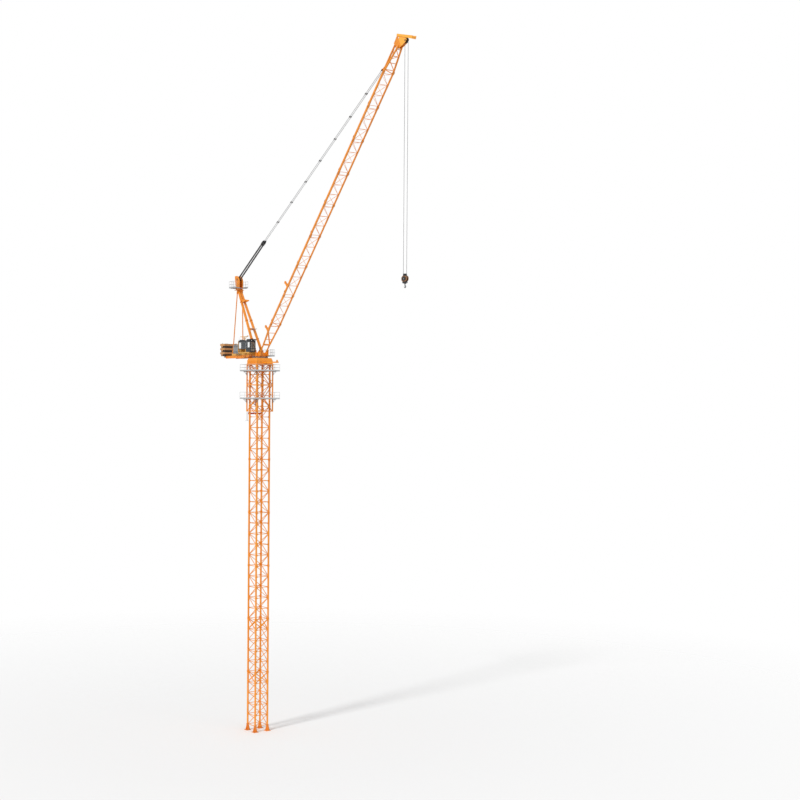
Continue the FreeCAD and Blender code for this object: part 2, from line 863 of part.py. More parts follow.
def cab_windows():
    """Glazed openings of the cab, as boxes that run through its walls."""
    near, far = -cab_inner - cab_width, -cab_inner
    low, high = cab_base_z + window_foot, cab_base_z + cab_height - window_head
    sill = cab_base_z + window_sill
    wall = cab_wall
    across = (near + window_margin, far - window_margin)
    beside_driver = (cab_front - window_margin - side_window_length, cab_front - window_margin)
    annex_rear = cab_rear + annex_window_margin
    beside_annex = (annex_rear, annex_rear + annex_window_length)
    annex_low = cab_base_z + annex_rise + window_margin
    return {
        "front_upper": block((cab_front - wall, cab_front), across, (sill, high)),
        "front_lower": block((cab_front - wall, cab_front), across, (low, sill - window_margin)),
        "side_front": block(beside_driver, (near, near + wall), (high - side_window_drop, high)),
        "side_rear": block(beside_annex, (near, near + wall), (annex_low, high)),
        "inner_side": block(beside_driver, (far - wall, far), (sill, high)),
    }


def cab_box(inset):
    """The cab's outer form, or its inside: the driver's part with the raised annex behind it."""
    near, far = -cab_inner - cab_width, -cab_inner
    y_range = (near + inset, far - inset)
    top = cab_base_z + cab_height - inset
    driver = block((cab_step + inset, cab_front - inset), y_range, (cab_base_z + inset, top))
    annex = block((cab_rear + inset, cab_front - inset), y_range, (cab_base_z + annex_rise + inset, top))
    return driver.fuse(annex).removeSplitter()


def cab_shell():
    """Hollow cab: floor, walls and ceiling, with the windows cut through."""
    shell = cab_box(0).cut(cab_box(cab_wall))
    for window in cab_windows().values():
        shell = shell.cut(window)
    return shell


def cab_glass():
    """Panes seated in the middle of the cab's walls."""
    margin = (cab_wall - glass_thickness) / 2
    panes = []
    for window in cab_windows().values():
        box = window.BoundBox
        thin_x = box.XLength < box.YLength
        x_range = (box.XMin + margin, box.XMax - margin) if thin_x else (box.XMin, box.XMax)
        y_range = (box.YMin, box.YMax) if thin_x else (box.YMin + margin, box.YMax - margin)
        panes.append(block(x_range, y_range, (box.ZMin, box.ZMax)))
    return panes


def cab_roof():
    """Roof plate with a raised sun hood over the front of the cab."""
    top = cab_base_z + cab_height
    near, far = -cab_inner - cab_width, -cab_inner
    over = cab_roof_overhang
    base = block((cab_rear, cab_front), (near, far), (top, top + cab_roof_thickness))
    hood = block(
        (cab_front - cab_roof_length, cab_front + over), (near - over, far),
        (top + cab_roof_thickness, top + cab_roof_thickness + cab_roof_rise),
    )
    return join([base, hood])


def cab_carrier():
    """Bracket frame that carries the cab: an upright behind it, a bent corner and arms to the platform."""
    rear = cab_rear - carrier_width
    near = -cab_inner - cab_width
    low = cab_base_z - carrier_depth
    bend = carrier_bend
    outline = [
        Vector(rear, 0, cab_base_z + cab_height),
        Vector(rear, 0, low + bend),
        Vector(rear + bend * 0.3, 0, low + bend * 0.3),
        Vector(rear + bend, 0, low),
        Vector(cab_front - 30, 0, low),
        Vector(cab_front - 30, 0, cab_base_z),
        Vector(cab_rear, 0, cab_base_z),
        Vector(cab_rear, 0, cab_base_z + cab_height),
    ]
    pieces = []
    for y in (near, -cab_inner - carrier_width):
        side = plate(outline, Vector(0, carrier_width, 0))
        side.translate(Vector(0, y, 0))
        pieces.append(side)
    for x in (cab_rear + bend, -carrier_width * 2):
        pieces.append(
            block((x, x + carrier_width), (near, -cab_inner), (low, cab_base_z))
        )
    for x in (cab_rear + bend, cab_step - 2 * carrier_width):
        pieces.append(
            block((x, x + carrier_width), (near, -cab_inner), (cab_base_z, cab_base_z + annex_rise))
        )
    pieces.append(
        block((rear, cab_rear), (near, -cab_inner), (cab_base_z + 100, cab_base_z + 100 + carrier_width))
    )
    for arm_rear in carrier_arm_rears:
        pieces.append(
            block(
                (-arm_rear, -arm_rear + carrier_width), (near, -platform_half_width), (platform_z + 30, low)
            )
        )
    return join(pieces)


def machine_bed():
    """Raised bed of two rails and cross members, which carries the winch and the cabinet."""
    pieces = []
    for side in (-1, 1):
        y = side * girder_spacing / 2
        pieces.append(
            block(
                (-machine_bed_rear, -machine_bed_front), (y - machine_bed_bar / 2, y + machine_bed_bar / 2),
                (girder_top, bed_top),
            )
        )
    half = girder_spacing / 2
    span = machine_bed_rear - machine_bed_front - machine_bed_bar
    for step in range(machine_bed_bays + 1):
        x = -machine_bed_rear + span * step / machine_bed_bays
        pieces.append(block((x, x + machine_bed_bar), (-half, half), (girder_top + 2, bed_top)))
    return join(pieces)


def winch_frame():
    """Two cheek plates on the bed that hold the hoist and luffing drums, one behind the other."""
    x_rear = -winch_rear
    x_front = x_rear + winch_length
    half = winch_width / 2
    top = bed_top + winch_height
    shoulder = bed_top + winch_height * 0.6
    outline = [
        Vector(x_rear, 0, bed_top),
        Vector(x_front, 0, bed_top),
        Vector(x_front, 0, shoulder),
        Vector(x_front - 40, 0, top),
        Vector(x_rear + 40, 0, top),
        Vector(x_rear, 0, shoulder),
    ]
    pieces = []
    for side in (-1, 1):
        cheek = plate(outline, Vector(0, winch_cheek, 0))
        cheek.translate(Vector(0, half if side > 0 else -half - winch_cheek, 0))
        pieces.append(cheek)
    pieces.append(block((x_rear + 60, x_front - 60), (-half, half), (top - winch_cheek, top)))
    for x in (x_rear, x_front - winch_cheek):
        pieces.append(block((x, x + winch_cheek), (-half, half), (bed_top, bed_top + winch_tie_height)))
    return join(pieces)


def service_davit():
    """Light post on the winch frame with a level arm above the drums, for lifting machine parts."""
    half = davit_bar / 2
    foot = bed_top + winch_height
    top = bed_top + davit_height
    post = block((davit_x - half, davit_x + half), (-half, half), (foot, top))
    arm = block((-davit_rear, -davit_front), (-half, half), (top - davit_bar, top))
    base_x = (davit_x - 2 * davit_bar, davit_x + 2 * davit_bar)
    base = block(base_x, (-davit_bar, davit_bar), (foot, foot + winch_cheek / 2))
    pieces = [post, arm, base]
    for side in (-1, 1):
        corner = Vector(davit_x, 0, top - davit_brace_run)
        end = Vector(davit_x + side * davit_brace_run, 0, top - half)
        pieces.append(bar(corner, end, half, half, Vector(0, 1, 0)))
    trolley = block((-davit_front - 14, -davit_front), (-davit_bar, davit_bar), (top, top + davit_bar))
    return join(pieces + [trolley])


def winch_drum(centre):
    """Drum with its rope's winding and two flanges, running between the winch's cheeks."""
    half = winch_width / 2
    reach = Vector(0, half, 0)
    pieces = [rod(centre - reach, centre + reach, drum_axle_radius)]
    body = Vector(0, half - 10, 0)
    pieces.append(rod(centre - body, centre + body, drum_radius))
    for side in (-1, 1):
        inner = centre + Vector(0, side * (half - 14), 0)
        outer = centre + Vector(0, side * (half - 8), 0)
        pieces.append(rod(inner, outer, drum_flange_radius))
    return join(pieces)


def control_cabinet():
    """Closed switch cabinet on the bed's right rail, behind the cab."""
    y = -girder_spacing / 2
    return block(
        (-cabinet_rear, -cabinet_rear + cabinet_length), (y - cabinet_width, y + cabinet_lap),
        (bed_top, bed_top + cabinet_height),
    )


def side_platform():
    """Railed landing on the platform's left side."""
    floor_z = platform_z + side_platform_rise
    under = floor_z - side_platform_thickness
    y_range = (platform_half_width, platform_half_width + side_platform_width)
    x_range = (-side_platform_rear, side_platform_front)
    floor = block((x_range[0], platform_front), y_range, (under, floor_z))
    ahead = block((platform_front, x_range[1]), (y_range[0] - 14, y_range[1]), (under, floor_z))
    rails = railing(x_range, y_range, floor_z, open_side="right")
    brackets = []
    for x in (-side_platform_rear + 10, platform_front - 16):
        outline = [
            Vector(x, y_range[0], under),
            Vector(x, y_range[1] - 10, under),
            Vector(x, y_range[0], platform_z),
        ]
        brackets.append(plate(outline, Vector(6, 0, 0)))
    return join([floor, ahead, rails] + brackets)


# ==== Jib ====


def on_jib(shape):
    """Carry a shape from the jib's own frame to its place on the crane."""
    placed = turned(shape, -jib_angle, Vector(0, 1, 0))
    placed.translate(Vector(jib_pivot_x, 0, jib_pivot_z))
    return placed


def jib_point(u, y, v):
    """Place on the crane of a point given in the jib's own frame."""
    angle = math.radians(jib_angle)
    x = jib_pivot_x + u * math.cos(angle) - v * math.sin(angle)
    z = jib_pivot_z + u * math.sin(angle) + v * math.cos(angle)
    return Vector(x, y, z)


def jib_chord(y, v):
    """One chord through all the sections, with a collar at each end of every section."""
    half = chord_width / 2
    pieces = [block((jib_foot_length, sections_end), (y - half, y + half), (v - half, v + half))]
    for joint in range(jib_sections + 1):
        u = jib_foot_length + joint * jib_section_length
        start = max(u - collar_length / 2, jib_foot_length)
        stop = min(u + collar_length / 2, sections_end)
        reach = collar_width / 2
        pieces.append(block((start, stop), (y - reach, y + reach), (v - reach, v + reach)))
    return on_jib(join(pieces))


def section_nodes(section):
    """The places along one jib section where its lacing meets the chords."""
    start = jib_foot_length + section * jib_section_length + section_end_margin
    step = (jib_section_length - 2 * section_end_margin) / section_panels_jib
    return [start + step * node for node in range(section_panels_jib + 1)]


def jib_side_lacing(side):
    """Zigzag between one bottom chord and the top chord, one piece for each section."""
    foot_y = side * (jib_width / 2 - chord_width / 4)
    head_y = side * jib_brace / 2
    foot_v = chord_width / 2
    rise = jib_height - chord_width
    half = jib_brace / 2
    sections = []
    for section in range(jib_sections):
        nodes = section_nodes(section)
        bars = []
        for start, end in zip(nodes, nodes[1:]):
            middle = (start + end) / 2
            for foot_u in (start, end):
                corners = [
                    Vector(foot_u - half, foot_y - half, foot_v),
                    Vector(foot_u + half, foot_y - half, foot_v),
                    Vector(foot_u + half, foot_y + half, foot_v),
                    Vector(foot_u - half, foot_y + half, foot_v),
                ]
                bars.append(plate(corners, Vector(middle - foot_u, head_y - foot_y, rise)))
        sections.append(on_jib(join(bars)))
    return sections


def jib_bottom_lacing():
    """Cross bars and slanted bars between the bottom chords, one piece for each section."""
    reach = (jib_width - chord_width) / 2
    half = jib_brace / 2
    sections = []
    for section in range(jib_sections):
        nodes = section_nodes(section)
        bars = []
        for u in nodes:
            bars.append(block((u - half, u + half), (-reach, reach), (-half, half)))
        for index, (start, end) in enumerate(zip(nodes, nodes[1:])):
            run = math.hypot(end - start, 2 * reach)
            offset = half * run / (2 * reach)
            first, last = (start, end) if (section + index) % 2 == 0 else (end, start)
            inset = half if last > first else -half
            corners = [
                Vector(first + inset - offset, -reach, -half),
                Vector(last - inset - offset, reach, -half),
                Vector(last - inset + offset, reach, -half),
                Vector(first + inset + offset, -reach, -half),
            ]
            bars.append(plate(corners, Vector(0, 0, jib_brace)))
        sections.append(on_jib(join(bars)))
    return sections


def jib_foot():
    """Foot section: lugs on the pivots, chords that spread from them and the lacing between."""
    end = jib_foot_length
    half = chord_width / 2
    lug_v = Vector(0, 1, 0)
    pieces = []
    holes = []
    yoke_u = foot_yoke_u
    for side in (-1, 1):
        lug_y = side * foot_lug_half
        start = Vector(0, lug_y - foot_lug_thickness / 2, 0)
        pieces.append(Part.makeCylinder(foot_lug_radius, foot_lug_thickness, start, lug_v))
        web = block(
            (0, yoke_u), (lug_y - foot_lug_thickness / 2, lug_y + foot_lug_thickness / 2), (-half, half)
        )
        pieces.append(web)
        holes.append(
            Part.makeCylinder(
                pivot_radius + pivot_clearance, foot_lug_thickness + 4, start - Vector(0, 2, 0), lug_v
            )
        )
        chord_start = Vector(yoke_u - half, lug_y, 0)
        chord_end = Vector(end, side * jib_width / 2, 0)
        outline = [
            Vector(chord_start.x, chord_start.y - half, -half),
            Vector(chord_end.x, chord_end.y - half, -half),
            Vector(chord_end.x, chord_end.y + half, -half),
            Vector(chord_start.x, chord_start.y + half, -half),
        ]
        pieces.append(plate(outline, Vector(0, 0, chord_width)))
        reach = collar_width / 2
        pieces.append(
            block(
                (end - collar_length / 2, end), (chord_end.y - reach, chord_end.y + reach), (-reach, reach)
            )
        )
        rafter = [
            Vector(yoke_u, lug_y - half * 0.8, half),
            Vector(yoke_u + chord_width, lug_y - half * 0.8, half),
            Vector(yoke_u + chord_width, lug_y + half * 0.8, half),
            Vector(yoke_u, lug_y + half * 0.8, half),
        ]
        rafter_run = end - foot_top_chord_length - yoke_u
        rafter_head = Vector(rafter_run, -lug_y + side * 4, jib_height - chord_width)
        pieces.append(plate(rafter, rafter_head))
        upright_y = side * (jib_width / 2 - 2)
        post = [
            Vector(end - 40, upright_y - 4, half),
            Vector(end - 32, upright_y - 4, half),
            Vector(end - 32, upright_y + 4, half),
            Vector(end - 40, upright_y + 4, half),
        ]
        pieces.append(plate(post, Vector(0, side * 4 - upright_y, jib_height - 2 * half)))
    pieces.append(
        block(
            (yoke_u - half, yoke_u + half),
            (-foot_lug_half - half, foot_lug_half + half), (-half, half),
        )
    )
    pieces.append(
        block((end - foot_top_chord_length, end), (-half, half), (jib_height - half, jib_height + half))
    )
    reach = collar_width / 2
    pieces.append(
        block((end - collar_length / 2, end), (-reach, reach), (jib_height - reach, jib_height + reach))
    )
    thin = jib_brace / 2
    for u in (230.0, 360.0, end - 36):
        y = foot_lug_half + (jib_width / 2 - foot_lug_half) * (u - yoke_u) / (end - yoke_u)
        pieces.append(block((u - thin, u + thin), (-y, y), (-thin, thin)))
    foot = join(pieces)
    for hole in holes:
        foot = foot.cut(hole)
    return on_jib(foot)


def jib_head():
    """Head section: tapering chords, the two head plates that hold the sheave, and the nose beam."""
    start, end = sections_end, jib_head_end
    half = chord_width / 2
    pieces = []
    throat = head_sheave_u - head_throat_setback
    plate_mid = head_plates_half - head_plates_thickness / 2
    reach = collar_width / 2
    for side in (-1, 1):
        near_y = side * jib_width / 2
        far_y = side * (head_plates_half + half - 2)
        outline = [
            Vector(start, near_y - half, -half),
            Vector(throat + 20, far_y - half, -half),
            Vector(throat + 20, far_y + half, -half),
            Vector(start, near_y + half, -half),
        ]
        pieces.append(plate(outline, Vector(0, 0, chord_width)))
        pieces.append(
            block((start, start + collar_length / 2), (near_y - reach, near_y + reach), (-reach, reach))
        )
        head_outline = [
            Vector(throat - 30, 0, -half),
            Vector(throat - 20, 0, jib_height + half),
            Vector(end - 40, 0, jib_height + half + 6),
            Vector(end - 12, 0, jib_height - 30),
            Vector(end + 28, 0, head_sheave_v + 30),
            Vector(end + 22, 0, head_sheave_v - 16),
            Vector(end - 14, 0, head_sheave_v - 18),
            Vector(throat + 60, 0, head_sheave_v + 16),
        ]
        cheek = plate(head_outline, Vector(0, head_plates_thickness, 0))
        window = Part.makeCylinder(
            15.0, head_plates_thickness, Vector(end - 58, 0, jib_height - 36), Vector(0, 1, 0)
        )
        cheek = cheek.cut(window)
        cheek.translate(Vector(0, side * plate_mid - head_plates_thickness / 2, 0))
        pieces.append(cheek)
        nodes = [start + 40, start + 150, start + 260, start + 370]
        for index, (first, last) in enumerate(zip(nodes, nodes[1:])):
            first_y = near_y + (far_y - near_y) * (first - start) / (throat + 20 - start)
            last_y = near_y + (far_y - near_y) * (last - start) / (throat + 20 - start)
            if index % 2 == 0:
                foot, head = Vector(first, first_y, half), Vector(last, side * 4, jib_height - half)
            else:
                foot, head = Vector(last, last_y, half), Vector(first, side * 4, jib_height - half)
            corners = [
                foot + Vector(-4, -4, 0),
                foot + Vector(4, -4, 0),
                foot + Vector(4, 4, 0),
                foot + Vector(-4, 4, 0),
            ]
            pieces.append(plate(corners, head - foot))
    pieces.append(block((start, throat), (-half, half), (jib_height - half, jib_height + half)))
    pieces.append(
        block((start, start + collar_length / 2), (-reach, reach), (jib_height - reach, jib_height + reach))
    )
    for u in (start + 40, start + 150, start + 260, start + 370):
        share = (u - start) / (throat + 20 - start)
        y = jib_width / 2 + (head_plates_half + half - 2 - jib_width / 2) * share
        pieces.append(block((u - 4, u + 4), (-y, y), (-4, 4)))
    pieces.append(
        block(
            (throat - 24, throat - 12), (-head_plates_half, head_plates_half), (-half, jib_height + half)
        )
    )
    axle = Vector(head_sheave_u, 0, head_sheave_v)
    across = Vector(0, plate_mid, 0)
    pieces.append(rod(axle - across, axle + across, sheave_axle_radius))
    return on_jib(join(pieces + nose_beam(end)))


def nose_beam(end):
    """Pair of channels across the end of the head, from above the top chord to below the sheave."""
    pieces = []
    for side in (-1, 1):
        inner = head_plates_half
        outline = [
            Vector(end - 52, 0, jib_height + 14),
            Vector(end - 26, 0, jib_height + 24),
            Vector(end + 138, 0, -196),
            Vector(end + 96, 0, -210),
        ]
        channel = plate(outline, Vector(0, nose_beam_width, 0))
        channel.translate(Vector(0, inner if side > 0 else -inner - nose_beam_width, 0))
        pieces.append(channel)
    half = head_plates_half
    pieces.append(block((end + 104, end + 126), (-half, half), (-204, -188)))
    return pieces


def pendant_strut():
    """Heavy V of struts that ties the pendants' station to both bottom chords."""
    half = chord_width / 2
    strut_u = pendant_station + pendant_strut_offset
    pieces = []
    for side in (-1, 1):
        foot_y = side * (jib_width / 2 - half + 4)
        corners = [
            Vector(strut_u - 5.5, foot_y - 5, half),
            Vector(strut_u + 5.5, foot_y - 5, half),
            Vector(strut_u + 5.5, foot_y + 5, half),
            Vector(strut_u - 5.5, foot_y + 5, half),
        ]
        pieces.append(on_jib(plate(corners, Vector(0, side * 5 - foot_y, jib_height - 2 * half))))
    return pieces


def sheave(centre, radius, width, bore):
    """Grooved rope wheel about a level axle."""
    groove = 3.5
    half = width / 2
    profile = [
        Vector(bore, 0, -half),
        Vector(radius, 0, -half),
        Vector(radius, 0, -half + 2.5),
        Vector(radius - groove, 0, 0),
        Vector(radius, 0, half - 2.5),
        Vector(radius, 0, half),
        Vector(bore, 0, half),
    ]
    wire = Part.makePolygon(profile + [profile[0]])
    wheel = Part.Face(wire).revolve(Vector(0, 0, 0), Vector(0, 0, 1), 360)
    wheel.rotate(Vector(0, 0, 0), Vector(1, 0, 0), 90)
    wheel.translate(centre)
    return wheel


def rope_guide(u):
    """Guide wheel for the hoist rope in a fork on the top chord."""
    half = chord_width / 2
    axle_v = jib_height + guide_rise
    pieces = []
    for side in (-1, 1):
        inner = guide_wheel_width / 2 + 1
        outline = [
            Vector(u - 20, 0, jib_height + half),
            Vector(u + 20, 0, jib_height + half),
            Vector(u + 8, 0, axle_v + 8),
            Vector(u - 8, 0, axle_v + 8),
        ]
        ear = plate(outline, Vector(0, guide_ear_thickness, 0))
        ear.translate(Vector(0, inner if side > 0 else -inner - guide_ear_thickness, 0))
        pieces.append(ear)
    axle = Vector(u, 0, axle_v)
    wheel_half = Vector(0, guide_wheel_width / 2, 0)
    across = wheel_half + Vector(0, guide_ear_thickness - 1, 0)
    pieces.append(rod(axle - across, axle + across, guide_axle_radius))
    pieces.append(rod(axle - wheel_half, axle + wheel_half, guide_wheel_radius))
    return on_jib(join(pieces))


# ==== Luffing tackle ====


def tackle_line():
    """The pendants' pin, the luffing block's centre and the direction between them."""
    station = jib_point(pendant_station, 0, jib_height + pendant_rise)
    centre = jib_point(luffing_block_u, 0, luffing_block_v)
    run = centre - station
    run.normalize()
    return station, centre, run


def pendants():
    """Two lines of tie bars from the jib back to the luffing block, with couplers between bars."""
    station, tackle, run = tackle_line()
    start = station + run * (pendant_pin_radius + seat_clearance)
    end = tackle - run * (luffing_block_length / 2)
    lines = []
    across = Vector(0, 1, 0)
    for side in (-1, 1):
        offset = across * (side * pendant_spacing / 2)
        pieces = [bar(start + offset, end + offset, pendant_width, pendant_width, across)]
        length = (end - start).Length
        for index in range(pendant_bars):
            middle = start + run * (length * index / pendant_bars + coupler_length / 2) + offset
            half = run * (coupler_length / 2)
            pieces.append(bar(middle - half, middle + half, coupler_width, coupler_width, across))
        lines.append(join(pieces))
    return lines


def pendant_bracket():
    """Lug plates on the top chord that hold the pendants' pins."""
    half = chord_width / 2
    top = jib_height + half
    reach = pendant_spacing / 2 + coupler_width / 2
    pieces = [
        block((pendant_station - 30, pendant_station + 18), (-5, 5), (top, top + pendant_rise - half + 8)),
        rod(
            Vector(pendant_station, -reach - 4, jib_height + pendant_rise),
            Vector(pendant_station, reach + 4, jib_height + pendant_rise),
            pendant_pin_radius,
        ),
    ]
    return on_jib(join(pieces))


def luffing_block():
    """Block between the pendants and the luffing ropes."""
    station, centre, run = tackle_line()
    half = run * (luffing_block_length / 2)
    return bar(centre - half, centre + half, luffing_block_width, luffing_block_depth, Vector(0, 1, 0))


def luffing_ropes():
    """The parts of the luffing rope, side by side, from the block to the head's axle."""
    station, centre, run = tackle_line()
    start = centre + run * (luffing_block_length / 2 + seat_clearance)
    axle = Vector(luffing_axle_x, 0, luffing_axle_z)
    toward = axle - start
    toward.normalize()
    end = axle - toward * (luffing_axle_radius + seat_clearance)
    ropes = []
    for part in range(luffing_rope_parts):
        y = (part - (luffing_rope_parts - 1) / 2) * luffing_rope_pitch
        ropes.append(rod(start + Vector(0, y, 0), end + Vector(0, y, 0), rope_radius))
    return ropes


# ==== Hook ====


def falls_axis():
    """The head sheave's centre."""
    return jib_point(head_sheave_u, 0, head_sheave_v)


def hoist_falls():
    """Two rope falls from the head sheave down to the hook block's sheave."""
    head = falls_axis()
    ropes = []
    for side in (-1, 1):
        x = head.x + side * (sheave_radius + rope_radius * 0.2)
        ropes.append(rod(Vector(x, 0, block_sheave_z), Vector(x, 0, head.z), rope_radius))
    return ropes


def hook_block():
    """Cheeks of the hook block, with the axle between them."""
    x = falls_axis().x
    z = block_sheave_z
    reach, height = block_reach, block_half_height
    outer_half = block_inner_half + block_cheek
    pieces = []
    outline = [
        Vector(x - reach, 0, z - 8),
        Vector(x - reach * 0.62, 0, z - height),
        Vector(x + reach * 0.62, 0, z - height),
        Vector(x + reach, 0, z - 8),
        Vector(x + reach, 0, z + 8),
        Vector(x + reach * 0.5, 0, z + height * 0.9),
        Vector(x - reach * 0.5, 0, z + height * 0.9),
        Vector(x - reach, 0, z + 8),
    ]
    for side in (-1, 1):
        cheek = plate(outline, Vector(0, block_cheek, 0))
        cheek.translate(Vector(0, block_inner_half if side > 0 else -outer_half, 0))
        pieces.append(cheek)
    across = Vector(0, block_inner_half + block_cheek / 2, 0)
    centre = Vector(x, 0, z)
    pieces.append(rod(centre - across, centre + across, sheave_axle_radius))
    pieces.append(block((x - 22, x + 22), (-outer_half, outer_half), (z + height * 0.9, block_top_z)))
    pieces.append(
        block((x - 36, x + 36), (-outer_half, outer_half), (z - height - block_foot_height, z - height))
    )
    return join(pieces)


def hook():
    """Forged hook on a swivel shank."""
    x = falls_axis().x
    top = block_sheave_z - block_half_height - block_foot_height - seat_clearance
    shank_foot = top - shank_length
    shank = Part.makeCylinder(shank_radius, shank_length, Vector(x, 0, shank_foot))
    collar = Part.makeCylinder(hook_collar_radius, hook_collar_height, Vector(x, 0, top - hook_collar_height))
    centre = Vector(x, 0, shank_foot - hook_bowl_radius - 4)
    bowl = Part.makeTorus(hook_bowl_radius, hook_thickness_radius, centre, Vector(0, 1, 0), 0, 360, 360)
    gap = block((x - 24, x), (-8, 8), (centre.z, centre.z + 24))
    return join([shank, collar, bowl.cut(gap)])


# ==== The crane, piece by piece ====

os.makedirs("parts", exist_ok=True)

corner_names = {
    (1, 1): "front_left", (1, -1): "front_right", (-1, 1): "rear_left", (-1, -1): "rear_right",
}
face_names = ("right", "front", "left", "rear")

export("foundation_feet", *[tower_foot(*corner) for corner in corner_names])
for corner, name in corner_names.items():
    export(f"tower_leg_{name}", tower_leg(*corner))
for quarter, name in enumerate(face_names):
    export(f"tower_bracing_{name}", tower_bracing(quarter))
for quarter, name in enumerate(face_names):
    export(f"cage_{name}", cage_side(quarter, name in ("front", "rear"), name != "front"))
export("lower_deck", deck(lower_deck_z))
export("upper_deck", deck(upper_deck_z))
export("deck_railings", *deck_railing(lower_deck_z), *deck_railing(upper_deck_z))
export("climbing_gear", *climbing_gear())
export("hanging_ladder", hanging_ladder())
export("ring_support", ring_support())
export("feed_beam", feed_beam())
export("slewing_ring", ring(ring_radius, race_radius, ring_base_z, platform_z - slewing_gap))

export("slewing_platform", slewing_platform())
export("counter_jib_frame", counter_jib_frame())
export("machine_bed", machine_bed())
for index in range(ballast_slabs):
    export(f"ballast_slab_{index + 1}", ballast_slab(index))
for side, name in ((1, "left"), (-1, "right")):
    export(f"a_frame_leg_{name}", a_frame_leg(side))
export("a_frame_ties", a_frame_tie(1), a_frame_tie(-1))
export("a_frame_head", a_frame_head())
export("head_platform", head_platform())
export("mid_platform", mid_platform())
export("leg_brackets", leg_bracket(1), leg_bracket(-1))
export("cab_shell", cab_shell())
export("cab_glass", *cab_glass())
export("cab_roof", cab_roof())
export("cab_carrier", cab_carrier())
export("winch_frame", winch_frame())
winch_centre = -winch_rear + winch_length / 2
drum_offset = drum_flange_radius + drum_gap / 2
drum_places = [Vector(winch_centre + side * drum_offset, 0, bed_top + drum_rise) for side in (-1, 1)]
export("winch_drums", *[winch_drum(place) for place in drum_places])
export("service_davit", service_davit())
export("control_cabinet", control_cabinet())
export("side_platform", side_platform())

for side, name in ((1, "left"), (-1, "right")):
    export(f"jib_chord_{name}", jib_chord(side * jib_width / 2, 0))
export("jib_chord_top", jib_chord(0, jib_height))
export("jib_lacing_sides", *jib_side_lacing(1), *jib_side_lacing(-1))
export("jib_lacing_bottom", *jib_bottom_lacing())
export("jib_foot", jib_foot())
export("jib_head", jib_head())
head_sheave_centre = Vector(head_sheave_u, 0, head_sheave_v)
export("head_sheave", on_jib(sheave(head_sheave_centre, sheave_radius, sheave_width, sheave_bore_radius)))
export("pendant_mount", *pendant_strut(), pendant_bracket())
export("rope_guides", *[rope_guide(u) for u in guide_stations])
export("pendants", *pendants())
export("luffing_block", luffing_block())
export("luffing_ropes", *luffing_ropes())
export("hoist_falls", *hoist_falls())
export("hook_block", hook_block())
block_sheave_centre = Vector(falls_axis().x, 0, block_sheave_z)
export("block_sheave", sheave(block_sheave_centre, sheave_radius, sheave_width, sheave_bore_radius))
export("hook", hook())
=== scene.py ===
import json
import math

import bmesh
import bpy
from mathutils import Matrix, Vector


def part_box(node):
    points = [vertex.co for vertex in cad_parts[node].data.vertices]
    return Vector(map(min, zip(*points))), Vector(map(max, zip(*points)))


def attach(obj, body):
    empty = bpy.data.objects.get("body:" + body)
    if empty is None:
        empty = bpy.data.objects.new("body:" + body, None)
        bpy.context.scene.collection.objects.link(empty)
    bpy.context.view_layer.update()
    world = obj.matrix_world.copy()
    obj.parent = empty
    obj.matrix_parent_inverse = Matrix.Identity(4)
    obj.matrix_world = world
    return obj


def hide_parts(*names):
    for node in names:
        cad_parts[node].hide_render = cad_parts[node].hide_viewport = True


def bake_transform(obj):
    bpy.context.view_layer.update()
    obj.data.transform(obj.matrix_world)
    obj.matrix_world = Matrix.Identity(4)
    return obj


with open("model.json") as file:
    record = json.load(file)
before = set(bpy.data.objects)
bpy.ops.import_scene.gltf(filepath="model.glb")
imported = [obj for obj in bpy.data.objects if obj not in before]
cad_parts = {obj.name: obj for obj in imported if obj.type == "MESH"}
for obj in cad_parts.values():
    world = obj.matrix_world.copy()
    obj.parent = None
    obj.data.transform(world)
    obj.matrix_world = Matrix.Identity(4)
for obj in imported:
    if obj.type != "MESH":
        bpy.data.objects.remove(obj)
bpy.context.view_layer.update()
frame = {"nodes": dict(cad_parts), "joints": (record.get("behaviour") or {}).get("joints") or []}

# Finishes and fine parts of the tower crane. Lengths are millimetres unless a name says metres.
# +X is forward, under the jib, +Y is the crane's left and +Z is up.

METRES = 0.001


def node_box(name):
    """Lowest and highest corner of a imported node, in millimetres."""
    low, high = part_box(name)
    return low / METRES, high / METRES


# ---- Tower sizes ----
leg_low, leg_high = node_box("tower_leg_front_left")
leg_offset = (leg_low.x + leg_high.x) / 2
leg_half = (leg_high.x - leg_low.x) / 2
foot_height = leg_low.z
tower_top = leg_high.z
tower_panels = 34
section_panels = 5
panel_height = (tower_top - foot_height) / tower_panels
brace_half = 4.0
gusset_thickness = 4.0
gusset_reach = 26.0
gusset_height = 30.0
coupler_half = leg_half + 3.0
coupler_height = 34.0
bolt_radius = 2.0
bolt_height = 1.8

# ---- Cage, decks and railings ----
cage_low, cage_high = node_box("cage_front")
cage_half = cage_high.x - 8.0
cage_bar_half = 8.0
roller_radius = 7.0
deck_half = node_box("lower_deck")[1].x
deck_inner = cage_half + cage_bar_half
deck_thickness = 8.0
deck_bracket = 60.0
railing_height = 104.0
railing_tube = 2.2
kick_height = 14.0
kick_thickness = 2.0
grating_pitch = 6.0
grating_tie_pitch = 13.0
grating_bar = 0.9

# ---- Upperworks ----
girder_low, girder_high = node_box("counter_jib_frame")
bed_low, bed_high = node_box("machine_bed")
girder_half_spacing = 97.0
girder_flange = 3.5
girder_web = 4.0
girder_half_width = 9.0


# ---- A-frame and winch ----
a_frame_foot = Vector((-63.0, 64.0, 6146.0))
a_frame_crown = Vector((-660.0, 20.0, 7150.0))
a_frame_flange_levels = (6330.0, 6640.0, 6955.0)
a_frame_pin_rise = 22.0
tie_low, tie_high = node_box("a_frame_ties")
tie_half = 6.0
tie_head_spread = 45.0
drum_flange_depth = 12.0
slab_height = 66.0
slab_recess_height = 31.0

